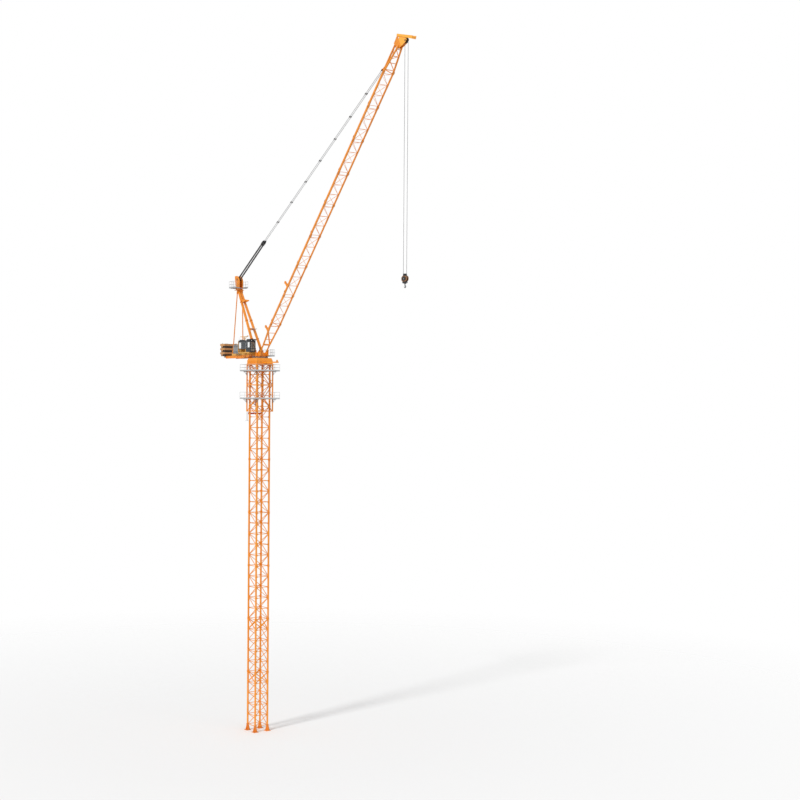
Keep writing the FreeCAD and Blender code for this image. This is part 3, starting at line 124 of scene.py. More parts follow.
# ---- Cab ----
cab_length = 122.0
cab_wall = 6.0
annex_rise = 50.0
window_foot = 18.0
window_sill = 60.0
window_head = 22.0
window_margin = 12.0
side_window_length = 60.0
side_window_drop = 84.0
annex_window_margin = 18.0
annex_window_length = 70.0

# ---- Jib, in its own frame: u along the bottom chords, v square to them ----
luff_joint = next(joint for joint in frame["joints"] if joint["name"] == "luff")
jib_pivot = Vector(luff_joint["pos_m"]) / METRES
jib_angle = math.radians(49.4)
jib_half_width = 85.0
jib_height = 120.0
chord_half = 9.5
jib_foot_length = 532.0
jib_section_length = 574.0
jib_sections = 8
section_margin = 25.0
lacing_panels = 3
lacing_radius = 3.4
pendant_u = 5096.0
pendant_v = jib_height + 22.0
pendant_half_spacing = 13.0
pendant_bars = 8
coupler_length = 30.0
luffing_block_u = 1296.0
luffing_block_v = 1154.0
luffing_block_length = 110.0
luffing_head = Vector((-680.0, 0.0, 7330.0))
luffing_sheave_radius = 27.0
luffing_rope_pitch = 8.0
luffing_rope_parts = 4
rope_radius = 3.0
falls_low, falls_high = node_box("hoist_falls")
head_axle = Vector(((falls_low.x + falls_high.x) / 2, 0.0, falls_high.z))
block_axle = Vector((head_axle.x, 0.0, falls_low.z))
sheave_radius = 39.0
UP = Vector((0.0, 0.0, 1.0))
ACROSS = Vector((0.0, 1.0, 0.0))


# ==== Node graphs ====


class Graph:
    """Adds nodes to a tree and joins them."""

    def __init__(self, tree):
        self.tree = tree

    def add(self, kind, inputs=None, **settings):
        node = self.tree.nodes.new(kind)
        for key, value in settings.items():
            setattr(node, key, value)
        for socket, value in (inputs or {}).items():
            if isinstance(value, bpy.types.NodeSocket):
                self.tree.links.new(value, node.inputs[socket])
            else:
                node.inputs[socket].default_value = value
        return node


# ==== Finishes ====


def new_finish(name):
    """Empty finish with its shader, and the surface's own coordinates."""
    finish = bpy.data.materials.new(name)
    finish.use_nodes = True
    graph = Graph(finish.node_tree)
    shader = finish.node_tree.nodes["Principled BSDF"]
    coordinates = graph.add("ShaderNodeTexCoord").outputs["Object"]
    return finish, graph, shader, coordinates


def mixed(graph, share, first, second):
    """Colour between two colours or colour sockets."""
    node = graph.add("ShaderNodeMix", data_type="RGBA")
    graph.tree.links.new(share, node.inputs["Factor"])
    for socket, value in ((node.inputs[6], first), (node.inputs[7], second)):
        if isinstance(value, bpy.types.NodeSocket):
            graph.tree.links.new(value, socket)
        else:
            socket.default_value = (*value, 1.0)
    return node.outputs[2]


def noise(graph, coordinates, scale, detail=3.0, stretch=None):
    """Noise of about 1/scale metres, stretched along an axis where asked."""
    if stretch:
        coordinates = graph.add(
            "ShaderNodeMapping", {"Vector": coordinates, "Scale": stretch}
        ).outputs["Vector"]
    return graph.add(
        "ShaderNodeTexNoise", {"Vector": coordinates, "Scale": scale, "Detail": detail}
    ).outputs["Fac"]


def window(graph, value, low, high, start=0.0, end=1.0):
    """Brings the part of a value between low and high to start..end."""
    return graph.add(
        "ShaderNodeMapRange",
        {"Value": value, "From Min": low, "From Max": high, "To Min": start, "To Max": end},
    ).outputs["Result"]


def relief(graph, shader, height, distance, strength=0.5):
    """Presses a height pattern into the surface."""
    bump = graph.add("ShaderNodeBump", {"Height": height, "Distance": distance, "Strength": strength})
    graph.tree.links.new(bump.outputs["Normal"], shader.inputs["Normal"])


def paint(name, colour, shade, roughness=0.38, grime=0.35):
    """Satin paint: slow tone changes, dirt run down the faces, chips to the primer and orange peel."""
    finish, graph, shader, coordinates = new_finish(name)
    tone = window(graph, noise(graph, coordinates, 2.5, 4.0), 0.3, 0.7)
    colour_now = mixed(graph, tone, colour, shade)
    runs = noise(graph, coordinates, 1.0, 5.0, stretch=(32.0, 32.0, 3.0))
    dirt = window(graph, runs, 0.56, 0.8, 0.0, grime)
    colour_now = mixed(graph, dirt, colour_now, (0.09, 0.055, 0.03))
    chips = window(graph, noise(graph, coordinates, 95.0, 7.0), 0.685, 0.7)
    colour_now = mixed(graph, chips, colour_now, (0.12, 0.09, 0.075))
    graph.tree.links.new(colour_now, shader.inputs["Base Color"])
    gloss = window(graph, runs, 0.35, 0.75, roughness, roughness + 0.25)
    graph.tree.links.new(gloss, shader.inputs["Roughness"])
    peel = noise(graph, coordinates, 420.0, 2.0)
    relief(graph, shader, peel, 0.0004, 0.25)
    shader.inputs["Coat Weight"].default_value = 0.15
    return finish


def galvanised(name, colour, shade, roughness=0.5):
    """Zinc with its spangle, duller where it has weathered."""
    finish, graph, shader, coordinates = new_finish(name)
    cells = graph.add("ShaderNodeTexVoronoi", {"Vector": coordinates, "Scale": 190.0})
    spangle = graph.add("ShaderNodeSeparateColor", {0: cells.outputs["Color"]}).outputs[0]
    colour_now = mixed(graph, spangle, colour, shade)
    bloom = window(graph, noise(graph, coordinates, 12.0, 4.0), 0.45, 0.7, 0.0, 0.5)
    colour_now = mixed(graph, bloom, colour_now, (0.62, 0.62, 0.6))
    graph.tree.links.new(colour_now, shader.inputs["Base Color"])
    graph.tree.links.new(
        window(graph, bloom, 0.0, 0.5, roughness, roughness + 0.3), shader.inputs["Roughness"]
    )
    shader.inputs["Metallic"].default_value = 0.55
    relief(graph, shader, spangle, 0.0002, 0.3)
    return finish


def bare_steel(name, colour, shade, roughness=0.35):
    """Machined or forged steel with grease and fine scratches."""
    finish, graph, shader, coordinates = new_finish(name)
    scratches = noise(graph, coordinates, 1.0, 3.0, stretch=(900.0, 900.0, 60.0))
    grease = window(graph, noise(graph, coordinates, 25.0, 5.0), 0.45, 0.65)
    colour_now = mixed(graph, grease, colour, shade)
    graph.tree.links.new(colour_now, shader.inputs["Base Color"])
    graph.tree.links.new(
        window(graph, scratches, 0.3, 0.7, roughness, roughness + 0.25), shader.inputs["Roughness"]
    )
    shader.inputs["Metallic"].default_value = 0.85
    relief(graph, shader, scratches, 0.0002, 0.3)
    return finish


def wire_rope(name, colour, shade):
    """Laid strands of a wire rope, with grease between them."""
    finish, graph, shader, coordinates = new_finish(name)
    strands = graph.add(
        "ShaderNodeTexWave",
        {"Vector": coordinates, "Scale": 90.0, "Distortion": 1.5, "Detail": 1.0},
        bands_direction="DIAGONAL",
    ).outputs["Fac"]
    graph.tree.links.new(mixed(graph, strands, shade, colour), shader.inputs["Base Color"])
    graph.tree.links.new(window(graph, strands, 0.0, 1.0, 0.65, 0.4), shader.inputs["Roughness"])
    shader.inputs["Metallic"].default_value = 0.5
    relief(graph, shader, strands, 0.0012, 0.8)
    return finish


def glazing(name, clear, dusty_reflection, low_cover, high_cover):
    """Cab glass whose colour is painted reflection, mixed in patches between a clean and a dusty tone, dust
    and painted sheen together; the covers say how solid the pane looks, clean and dusty.
    """
    finish, graph, shader, coordinates = new_finish(name)
    # The pane's colours are painted reflection; this noise mixes them in patches of dust and painted sheen.
    dust_and_sheen = window(graph, noise(graph, coordinates, 30.0, 5.0), 0.4, 0.75)
    graph.tree.links.new(
        mixed(graph, dust_and_sheen, clear, dusty_reflection), shader.inputs["Base Color"]
    )
    graph.tree.links.new(window(graph, dust_and_sheen, 0.0, 1.0, 0.03, 0.25), shader.inputs["Roughness"])
    graph.tree.links.new(window(graph, dust_and_sheen, 0.0, 1.0, low_cover, high_cover), shader.inputs["Alpha"])
    shader.inputs["IOR"].default_value = 1.5
    shader.inputs["Coat Weight"].default_value = 1.0
    return finish


def rubber(name, colour):
    """Matt rubber and plastic with a fine grain."""
    finish, graph, shader, coordinates = new_finish(name)
    grain = noise(graph, coordinates, 260.0, 4.0)
    wear = window(graph, noise(graph, coordinates, 18.0, 4.0), 0.4, 0.7)
    lighter = tuple(min(1.0, channel * 1.8 + 0.02) for channel in colour)
    graph.tree.links.new(mixed(graph, wear, colour, lighter), shader.inputs["Base Color"])
    graph.tree.links.new(window(graph, grain, 0.3, 0.7, 0.55, 0.8), shader.inputs["Roughness"])
    relief(graph, shader, grain, 0.0004, 0.4)
    return finish


def two_tone_paint(name, lower, upper, shade, level_normal, level, softness):
    """Satin paint that changes colour across a plane through the piece."""
    finish = paint(name, lower, shade)
    graph = Graph(finish.node_tree)
    shader = finish.node_tree.nodes["Principled BSDF"]
    before = shader.inputs["Base Color"].links[0].from_socket
    coordinates = finish.node_tree.nodes["Texture Coordinate"].outputs["Object"]
    height = graph.add(
        "ShaderNodeVectorMath", {0: coordinates, 1: level_normal}, operation="DOT_PRODUCT"
    ).outputs["Value"]
    share = window(graph, height, level - softness, level + softness)
    graph.tree.links.new(mixed(graph, share, before, upper), shader.inputs["Base Color"])
    return finish


ORANGE = (0.86, 0.295, 0.016)
ORANGE_SHADE = (0.77, 0.24, 0.012)
orange_tower = paint("orange_tower_paint", (0.88, 0.32, 0.018), (0.8, 0.26, 0.013))
orange_crane = paint("orange_crane_paint", ORANGE, ORANGE_SHADE)
gold_paint = paint("gold_bed_paint", (0.72, 0.38, 0.075), (0.62, 0.31, 0.05))
foot_paint = paint("foot_paint", (0.80, 0.27, 0.03), (0.68, 0.2, 0.02), roughness=0.5, grime=0.6)
ballast_paint = paint("ballast_paint", (0.55, 0.28, 0.1), (0.43, 0.2, 0.07), roughness=0.55)
# Near-black paint on the ballast's recessed lower bodies and top strips: painted shade in the recess and
# between stacked slabs.
ballast_painted_shade = paint("ballast_recess_painted_shade", (0.035, 0.03, 0.027), (0.02, 0.018, 0.016), roughness=0.6)
cab_dark = paint("cab_dark_paint", (0.028, 0.034, 0.04), (0.018, 0.021, 0.025), roughness=0.32)
cab_grey = paint("cab_panel_paint", (0.12, 0.135, 0.15), (0.085, 0.095, 0.105), roughness=0.35)
cabinet_grey = paint("cabinet_paint", (0.30, 0.31, 0.31), (0.22, 0.225, 0.23), roughness=0.45)
red_paint = paint("hydraulic_red_paint", (0.58, 0.045, 0.02), (0.42, 0.03, 0.014), roughness=0.3)
# Slewing ring: the crane's orange darkened to orange-brown as painted shade on the ring's band.
ring_painted_shade = paint("slewing_ring_painted_shade", (0.36, 0.11, 0.02), (0.26, 0.075, 0.014), roughness=0.45)
black_paint = paint("block_black_paint", (0.018, 0.018, 0.02), (0.011, 0.011, 0.012), roughness=0.35)
tan_paint = paint("hook_block_tan_paint", (0.33, 0.15, 0.055), (0.24, 0.105, 0.038), roughness=0.42)
zinc = galvanised("galvanised_tube", (0.52, 0.53, 0.54), (0.66, 0.67, 0.68))
zinc_deck = galvanised("galvanised_grating", (0.34, 0.35, 0.36), (0.46, 0.47, 0.48))
pendant_zinc = galvanised("pendant_bar_zinc", (0.48, 0.49, 0.5), (0.6, 0.61, 0.62), roughness=0.45)
steel = bare_steel("greased_steel", (0.33, 0.33, 0.34), (0.12, 0.115, 0.11))
dark_steel = bare_steel("forged_dark_steel", (0.19, 0.2, 0.21), (0.09, 0.09, 0.09), roughness=0.45)
chrome = bare_steel("rod_chrome", (0.72, 0.73, 0.75), (0.6, 0.61, 0.63), roughness=0.12)
rope = wire_rope("wire_rope", (0.16, 0.16, 0.165), (0.05, 0.05, 0.052))
falls_rope = wire_rope("hoist_wire_rope", (0.30, 0.30, 0.31), (0.13, 0.13, 0.135))
# Cab glazing: side panes painted near white as painted reflection, front panes painted dark grey with a warm
# painted reflection.
white_reflection_glass = glazing("glazing_painted_white_reflection", (0.92, 0.94, 0.95), (0.8, 0.8, 0.77), 0.85, 0.95)
dark_reflection_glass = glazing("glazing_painted_warm_reflection", (0.16, 0.15, 0.13), (0.36, 0.3, 0.24), 0.6, 0.8)
black_rubber = rubber("black_rubber", (0.012, 0.012, 0.013))
seat_vinyl = rubber("seat_vinyl", (0.06, 0.05, 0.042))
lamp_lens = rubber("lamp_lens", (0.75, 0.75, 0.72))


# ==== Shapes ====


def turn(degrees, axis="Z"):
    """Turn about one of the crane's axes through the origin."""
    return Matrix.Rotation(math.radians(degrees), 4, axis)


def towards(start, end, side=None):
    """Placement at start whose Z runs to end, and whose X lies near `side`."""
    run = (end - start).normalized()
    guide = side or (ACROSS if abs(run.y) < 0.9 else UP)
    x_axis = (guide - run * guide.dot(run)).normalized()
    y_axis = run.cross(x_axis)
    placed = Matrix((x_axis, y_axis, run)).transposed().to_4x4()
    placed.translation = start
    return placed


def jib_place(u=0.0, y=0.0, v=0.0):
    """Placement in the jib's frame: X runs out along the jib and Z stands square to it."""
    tilt = Matrix.Rotation(-jib_angle, 4, "Y")
    return Matrix.Translation(jib_pivot) @ tilt @ Matrix.Translation((u, y, v))


def jib_point(u, y, v):
    """Place on the crane of a point given in the jib's frame."""
    return jib_place(u, y, v).translation


class Shape:
    """Mesh that grows part by part and then becomes one named piece."""

    def __init__(self):
        self.mesh = bmesh.new()
        self.scratch = bpy.data.meshes.new("scratch")
        self.finishes = []
        self.place = Matrix.Identity(4)

    def join(self, part, finish, place=None):
        """Gives a part its finish, moves it to its place and joins it to the shape."""
        if finish not in self.finishes:
            self.finishes.append(finish)
        matrix = self.place if place is None else self.place @ place
        bmesh.ops.transform(part, matrix=matrix, verts=part.verts)
        for face in part.faces:
            face.material_index = self.finishes.index(finish)
        part.to_mesh(self.scratch)
        part.free()
        self.mesh.from_mesh(self.scratch)

    def block(self, finish, x_range, y_range, z_range, place=None):
        """Box between the ends given for each axis."""
        part = bmesh.new()
        low = Vector((min(x_range), min(y_range), min(z_range)))
        high = Vector((max(x_range), max(y_range), max(z_range)))
        matrix = Matrix.Translation((low + high) / 2) @ Matrix.Diagonal((*(high - low), 1.0))
        bmesh.ops.create_cube(part, size=1.0, matrix=matrix)
        self.join(part, finish, place)

    def plate(self, finish, outline, thickness, place=None):
        """Flat outline pushed out by the thickness vector."""
        part = bmesh.new()
        near = [part.verts.new(Vector(point)) for point in outline]
        far = [part.verts.new(Vector(point) + Vector(thickness)) for point in outline]
        part.faces.new(near)
        part.faces.new(list(reversed(far)))
        count = len(near)
        for index in range(count):
            after = (index + 1) % count
            part.faces.new([near[after], near[index], far[index], far[after]])
        bmesh.ops.recalc_face_normals(part, faces=part.faces)
        self.join(part, finish, place)

    def rod(self, finish, start, end, radius, sides=12):
        """Round bar from start to end."""
        part = bmesh.new()
        start, end = Vector(start), Vector(end)
        length = (end - start).length
        matrix = towards(start, end) @ Matrix.Translation((0.0, 0.0, length / 2))
        bmesh.ops.create_cone(
            part, cap_ends=True, segments=sides, radius1=radius, radius2=radius, depth=length, matrix=matrix
        )
        self.join(part, finish)

    def lathe(self, finish, profile, start, end, steps=32):
        """Closed profile of (radius, distance) pairs turned about the line from start towards end."""
        part = bmesh.new()
        matrix = towards(Vector(start), Vector(end))
        rings = []
        for step in range(steps):
            angle = 2 * math.pi * step / steps
            spot = Vector((math.cos(angle), math.sin(angle), 0.0))
            rings.append([part.verts.new(matrix @ (spot * radius + UP * along)) for radius, along in profile])
        count = len(profile)
        for step, ring in enumerate(rings):
            after = rings[(step + 1) % steps]
            for index in range(count):
                following = (index + 1) % count
                part.faces.new([ring[index], after[index], after[following], ring[following]])
        bmesh.ops.recalc_face_normals(part, faces=part.faces)
        self.join(part, finish)

    def sweep(self, finish, points, radii, sides=12):
        """Round bar of changing radius along a line of points, closed at both ends."""
        part = bmesh.new()
        rings = []
        for index, point in enumerate(points):
            ahead = points[min(index + 1, len(points) - 1)]
            behind = points[max(index - 1, 0)]
            matrix = towards(Vector((0, 0, 0)), ahead - behind)
            matrix.translation = point
            ring = []
            for step in range(sides):
                angle = 2 * math.pi * step / sides
                spot = Vector((math.cos(angle), math.sin(angle), 0.0)) * radii[index]
                ring.append(part.verts.new(matrix @ spot))
            rings.append(ring)
        for ring, after in zip(rings, rings[1:]):
            for step in range(sides):
                following = (step + 1) % sides
                part.faces.new([ring[step], ring[following], after[following], after[step]])
        part.faces.new(list(reversed(rings[0])))
        part.faces.new(rings[-1])
        bmesh.ops.recalc_face_normals(part, faces=part.faces)
        self.join(part, finish)

    def bolt(self, finish, foot, direction, radius=bolt_radius, height=bolt_height):
        """Six-sided head standing on a face."""
        foot = Vector(foot)
        self.rod(finish, foot, foot + Vector(direction).normalized() * height, radius, sides=6)

    def grown(self, finish, tree, sizes, place=None, path=None):
        """Adds what a geometry tree makes from the given sizes."""
        part = bmesh.new()
        made = grow(tree, sizes, finish, path)
        part.from_mesh(made)
        bpy.data.meshes.remove(made)
        self.join(part, finish, place)

    def repeated(self, source, places):
        """Adds a copy of another shape at each place."""
        for place in places:
            part = source.mesh.copy()
            matrix = self.place @ place
            bmesh.ops.transform(part, matrix=matrix, verts=part.verts)
            for finish in source.finishes:
                if finish not in self.finishes:
                    self.finishes.append(finish)
            order = [self.finishes.index(finish) for finish in source.finishes]
            for face in part.faces:
                face.material_index = order[face.material_index]
            part.to_mesh(self.scratch)
            part.free()
            self.mesh.from_mesh(self.scratch)

    def copied(self, places):
        """The same shape once at each place."""
        many = Shape()
        many.repeated(self, places)
        return many

    def as_mesh(self, name, scale=METRES):
        """Plain mesh with smooth faces between sharp edges."""
        part = self.mesh.copy()
        bmesh.ops.transform(part, matrix=Matrix.Scale(scale, 4), verts=part.verts)
        for face in part.faces:
            face.smooth = True
        for edge in part.edges:
            edge.smooth = edge.calc_face_angle(0.0) < math.radians(35)
        mesh = bpy.data.meshes.new(name)
        part.to_mesh(mesh)
        part.free()
        for finish in self.finishes:
            mesh.materials.append(finish)
        return mesh


def plain_mesh(thing):
    """The finished mesh of an object, with its modifiers' work kept and the modifiers gone."""
    graph = bpy.context.evaluated_depsgraph_get()
    mesh = bpy.data.meshes.new_from_object(thing.evaluated_get(graph))
    thing.modifiers.clear()
    return mesh


def piece(name, shape, body, replaces=(), bevel=0.0):
    """Makes one named piece of the crane that rides on a body."""
    thing = bpy.data.objects.new(name, shape.as_mesh(name))
    bpy.context.scene.collection.objects.link(thing)
    if bevel:
        edge = thing.modifiers.new("edges", "BEVEL")
        edge.width = bevel * METRES
        edge.segments = 2
        edge.limit_method = "ANGLE"
        edge.angle_limit = math.radians(40)
        rounded = plain_mesh(thing)
        rounded.name = name
        thing.data = rounded
    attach(thing, body)
    if replaces:
        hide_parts(*replaces)
    return thing


# ==== Geometry trees ====


def new_tree(name, sizes):
    """Geometry tree with a path, a finish and the named sizes as its inputs."""
    tree = bpy.data.node_groups.new(name, "GeometryNodeTree")
    tree.interface.new_socket("Path", in_out="INPUT", socket_type="NodeSocketGeometry")
    tree.interface.new_socket("Finish", in_out="INPUT", socket_type="NodeSocketMaterial")
    for label, kind in sizes.items():
        tree.interface.new_socket(label, in_out="INPUT", socket_type=f"NodeSocket{kind}")
    tree.interface.new_socket("Geometry", in_out="OUTPUT", socket_type="NodeSocketGeometry")
    graph = Graph(tree)
    return tree, graph, graph.add("NodeGroupInput").outputs


def close_tree(graph, given, geometry):
    """Ends a tree in real geometry with its finish."""
    real = graph.add("GeometryNodeRealizeInstances", {"Geometry": geometry}).outputs["Geometry"]
    finished = graph.add("GeometryNodeSetMaterial", {"Geometry": real, "Material": given["Finish"]})
    graph.add("NodeGroupOutput", {"Geometry": finished.outputs["Geometry"]})


def vector(graph, x=0.0, y=0.0, z=0.0):
    return graph.add("ShaderNodeCombineXYZ", {"X": x, "Y": y, "Z": z}).outputs["Vector"]


def sum_of(graph, operation, first, second):
    return graph.add("ShaderNodeMath", {0: first, 1: second}, operation=operation).outputs["Value"]


def joined(graph, *parts):
    node = graph.add("GeometryNodeJoinGeometry")
    for part in parts:
        graph.tree.links.new(part, node.inputs["Geometry"])
    return node.outputs["Geometry"]


def row_tree():
    """Copies of an object in a straight row along Z."""
    tree, graph, given = new_tree(
        "row_of_copies", {"Copy": "Object", "First": "Float", "Step": "Float", "Count": "Int"}
    )
    line = graph.add(
        "GeometryNodeMeshLine",
        {
            "Count": given["Count"],
            "Start Location": vector(graph, z=given["First"]),
            "Offset": vector(graph, z=given["Step"]),
        },
    )
    copy = graph.add("GeometryNodeObjectInfo", {"Object": given["Copy"]})
    placed = graph.add(
        "GeometryNodeInstanceOnPoints", {"Points": line.outputs["Mesh"], "Instance": copy.outputs["Geometry"]}
    )
    close_tree(graph, given, placed.outputs["Instances"])
    return tree


def ring_tree():
    """Copies of an object round a circle, each facing outwards."""
    tree, graph, given = new_tree(
        "ring_of_copies", {"Copy": "Object", "Radius": "Float", "Level": "Float", "Count": "Int"}
    )
    circle = graph.add("GeometryNodeMeshCircle", {"Vertices": given["Count"], "Radius": given["Radius"]})
    lifted = graph.add(
        "GeometryNodeTransform",
        {"Geometry": circle.outputs["Mesh"], "Translation": vector(graph, z=given["Level"])}
    )
    index = graph.add("GeometryNodeInputIndex").outputs["Index"]
    share = sum_of(graph, "DIVIDE", index, given["Count"])
    angle = sum_of(graph, "MULTIPLY", share, 2 * math.pi)
    facing = graph.add("FunctionNodeEulerToRotation", {"Euler": vector(graph, z=angle)})
    copy = graph.add("GeometryNodeObjectInfo", {"Object": given["Copy"]})
    placed = graph.add(
        "GeometryNodeInstanceOnPoints",
        {
            "Points": lifted.outputs["Geometry"],
            "Instance": copy.outputs["Geometry"],
            "Rotation": facing.outputs["Rotation"],
        },
    )
    close_tree(graph, given, placed.outputs["Instances"])
    return tree


def grating_tree():
    """Floor grating about the origin: upright bearing bars across X, tied by lower cross bars."""
    tree, graph, given = new_tree(
        "floor_grating",
        {
            "Length": "Float", "Width": "Float", "Bar Pitch": "Float",
            "Tie Pitch": "Float", "Bar Height": "Float", "Bar Thickness": "Float",
        },
    )

    def bars(length, pitch, size, along_x):
        count = sum_of(graph, "DIVIDE", length, pitch)
        whole = graph.add("ShaderNodeMath", {0: count}, operation="ROUND").outputs["Value"]
        step = sum_of(graph, "DIVIDE", length, whole)
        start = sum_of(graph, "MULTIPLY", length, -0.5)
        spot = {"x" if along_x else "y": start}
        move = {"x" if along_x else "y": step}
        line = graph.add(
            "GeometryNodeMeshLine",
            {
                "Count": sum_of(graph, "ADD", whole, 1.0),
                "Start Location": vector(graph, **spot),
                "Offset": vector(graph, **move),
            },
        )
        bar = graph.add("GeometryNodeMeshCube", {"Size": size})
        return graph.add(
            "GeometryNodeInstanceOnPoints", {"Points": line.outputs["Mesh"], "Instance": bar.outputs["Mesh"]}
        ).outputs["Instances"]

    thin = given["Bar Thickness"]
    tall = given["Bar Height"]
    half = sum_of(graph, "MULTIPLY", tall, 0.5)
    bearing = bars(given["Length"], given["Bar Pitch"], vector(graph, thin, given["Width"], tall), True)
    ties = bars(given["Width"], given["Tie Pitch"], vector(graph, given["Length"], thin, half), False)
    close_tree(graph, given, joined(graph, bearing, ties))
    return tree


def railing_tree():
    """Railing along a path: a post at each of its points, two rails and a kick plate."""
    tree, graph, given = new_tree(
        "tube_railing",
        {"Height": "Float", "Tube Radius": "Float", "Kick Height": "Float", "Kick Thickness": "Float"},
    )
    path = graph.add("GeometryNodeMeshToCurve", {"Mesh": given["Path"]}).outputs["Curve"]
    tube = graph.add("GeometryNodeCurvePrimitiveCircle", {"Resolution": 8, "Radius": given["Tube Radius"]})
    rail = graph.add("GeometryNodeCurveToMesh", {"Curve": path, "Profile Curve": tube.outputs["Curve"]})
    rails = []
    for share in (1.0, 0.52):
        lift = sum_of(graph, "MULTIPLY", given["Height"], share)
        rails.append(
            graph.add(
                "GeometryNodeTransform",
                {"Geometry": rail.outputs["Mesh"], "Translation": vector(graph, z=lift)},
            ).outputs["Geometry"]
        )
    strip = graph.add(
        "GeometryNodeCurvePrimitiveQuadrilateral",
        {"Width": given["Kick Thickness"], "Height": given["Kick Height"]},
    )
    kick = graph.add(
        "GeometryNodeCurveToMesh", {"Curve": path, "Profile Curve": strip.outputs["Curve"]}
    )
    lift = sum_of(graph, "MULTIPLY", given["Kick Height"], 0.6)
    kicks = graph.add(
        "GeometryNodeTransform", {"Geometry": kick.outputs["Mesh"], "Translation": vector(graph, z=lift)}
    ).outputs["Geometry"]
    post = graph.add(
        "GeometryNodeMeshCylinder", {"Vertices": 8, "Radius": given["Tube Radius"], "Depth": given["Height"]}
    )
    middle = sum_of(graph, "MULTIPLY", given["Height"], 0.5)
    raised = graph.add(
        "GeometryNodeTransform", {"Geometry": post.outputs["Mesh"], "Translation": vector(graph, z=middle)}
    )
    posts = graph.add(
        "GeometryNodeInstanceOnPoints", {"Points": given["Path"], "Instance": raised.outputs["Geometry"]}
    ).outputs["Instances"]
    close_tree(graph, given, joined(graph, *rails, kicks, posts))
    return tree


def lacing_tree():
    """Zigzag tube along X that steps by a set reach to its second side and back."""
    tree, graph, given = new_tree(
        "zigzag_lacing",
        {"Step": "Float", "Points": "Int", "Reach Y": "Float", "Reach Z": "Float", "Tube Radius": "Float"},
    )
    line = graph.add(
        "GeometryNodeMeshLine", {"Count": given["Points"], "Offset": vector(graph, x=given["Step"])}
    )
    index = graph.add("GeometryNodeInputIndex").outputs["Index"]
    odd = sum_of(graph, "MODULO", index, 2.0)
    shift = vector(
        graph,
        y=sum_of(graph, "MULTIPLY", odd, given["Reach Y"]),
        z=sum_of(graph, "MULTIPLY", odd, given["Reach Z"]),
    )
    bent = graph.add("GeometryNodeSetPosition", {"Geometry": line.outputs["Mesh"], "Offset": shift})
    path = graph.add("GeometryNodeMeshToCurve", {"Mesh": bent.outputs["Geometry"]})
    tube = graph.add("GeometryNodeCurvePrimitiveCircle", {"Resolution": 8, "Radius": given["Tube Radius"]})
    swept = graph.add(
        "GeometryNodeCurveToMesh",
        {"Curve": path.outputs["Curve"], "Profile Curve": tube.outputs["Curve"], "Fill Caps": True},
    )
    close_tree(graph, given, swept.outputs["Mesh"])
    return tree


def winding_tree():
    """Rope wound round a drum, along Z from the origin."""
    tree, graph, given = new_tree(
        "rope_winding", {"Drum Radius": "Float", "Rope Radius": "Float", "Turns": "Int"}
    )
    outer = sum_of(graph, "ADD", given["Drum Radius"], given["Rope Radius"])
    pitch = sum_of(graph, "MULTIPLY", given["Rope Radius"], 2.04)
    height = sum_of(graph, "MULTIPLY", pitch, given["Turns"])
    helix = graph.add(
        "GeometryNodeCurveSpiral",
        {
            "Resolution": 28, "Rotations": given["Turns"],
            "Start Radius": outer, "End Radius": outer, "Height": height,
        },
    )
    strand = graph.add("GeometryNodeCurvePrimitiveCircle", {"Resolution": 6, "Radius": given["Rope Radius"]})
    swept = graph.add(
        "GeometryNodeCurveToMesh",
        {"Curve": helix.outputs["Curve"], "Profile Curve": strand.outputs["Curve"], "Fill Caps": True},
    )
    close_tree(graph, given, swept.outputs["Mesh"])
    return tree


def grow(tree, sizes, finish, path=None):
    """Plain mesh of what a geometry tree makes from the given sizes."""
    base = path or bpy.data.meshes.new("path")
    thing = bpy.data.objects.new("growing", base)
    bpy.context.scene.collection.objects.link(thing)
    maker = thing.modifiers.new("maker", "NODES")
    maker.node_group = tree
    sockets = {item.name: item.identifier for item in tree.interface.items_tree if item.in_out == "INPUT"}
    maker[sockets["Finish"]] = finish
    for label, value in sizes.items():
        maker[sockets[label]] = value
    thing.update_tag()
    bpy.context.view_layer.update()
    mesh = plain_mesh(thing)
    bpy.data.objects.remove(thing)
    bpy.data.meshes.remove(base)
    return mesh


def copy_source(name, shape):
    """Hidden object whose mesh, in millimetres, a tree repeats."""
    thing = bpy.data.objects.new(name, shape.as_mesh(name, scale=1.0))
    return thing


ROWS = row_tree()
RINGS = ring_tree()
GRATINGS = grating_tree()
RAILINGS = railing_tree()
LACINGS = lacing_tree()
WINDINGS = winding_tree()


def row(shape, finish, source, first, step, count, place=None):
    """Adds a straight row of copies to a shape."""
    copy = copy_source("row_source", source)
    shape.grown(finish, ROWS, {"Copy": copy, "First": first, "Step": step, "Count": count}, place)
    bpy.data.objects.remove(copy)


def bolt_circle(shape, finish, radius, level, count, place=None, bolt=bolt_radius, height=bolt_height):
    """Adds a circle of bolt heads that stand up along Z."""
    head = Shape()
    head.bolt(finish, (0, 0, 0), UP, bolt, height)
    copy = copy_source("bolt_source", head)
    shape.grown(finish, RINGS, {"Copy": copy, "Radius": radius, "Level": level, "Count": count}, place)
    bpy.data.objects.remove(copy)


def grating(shape, x_range, y_range, top, along_x=True):
    """Adds a framed floor grating between the given edges, its top at the given level."""
    length = abs(x_range[1] - x_range[0])
    width = abs(y_range[1] - y_range[0])
    middle = Vector((sum(x_range) / 2, sum(y_range) / 2, top - 2.5))
    edge = 2.0
    for side in (-1, 1):
        x = middle.x + side * (length - edge) / 2
        y = middle.y + side * (width - edge) / 2
        shape.block(zinc_deck, (x - edge / 2, x + edge / 2), y_range, (top - deck_thickness, top))
        shape.block(zinc_deck, x_range, (y - edge / 2, y + edge / 2), (top - deck_thickness, top))
    sizes = {
        "Length": (length if along_x else width) - edge, "Width": (width if along_x else length) - edge,
        "Bar Pitch": grating_pitch, "Tie Pitch": grating_tie_pitch,
        "Bar Height": 5.0, "Bar Thickness": grating_bar,
    }
    shape.grown(zinc_deck, GRATINGS, sizes, Matrix.Translation(middle) @ turn(0 if along_x else 90))


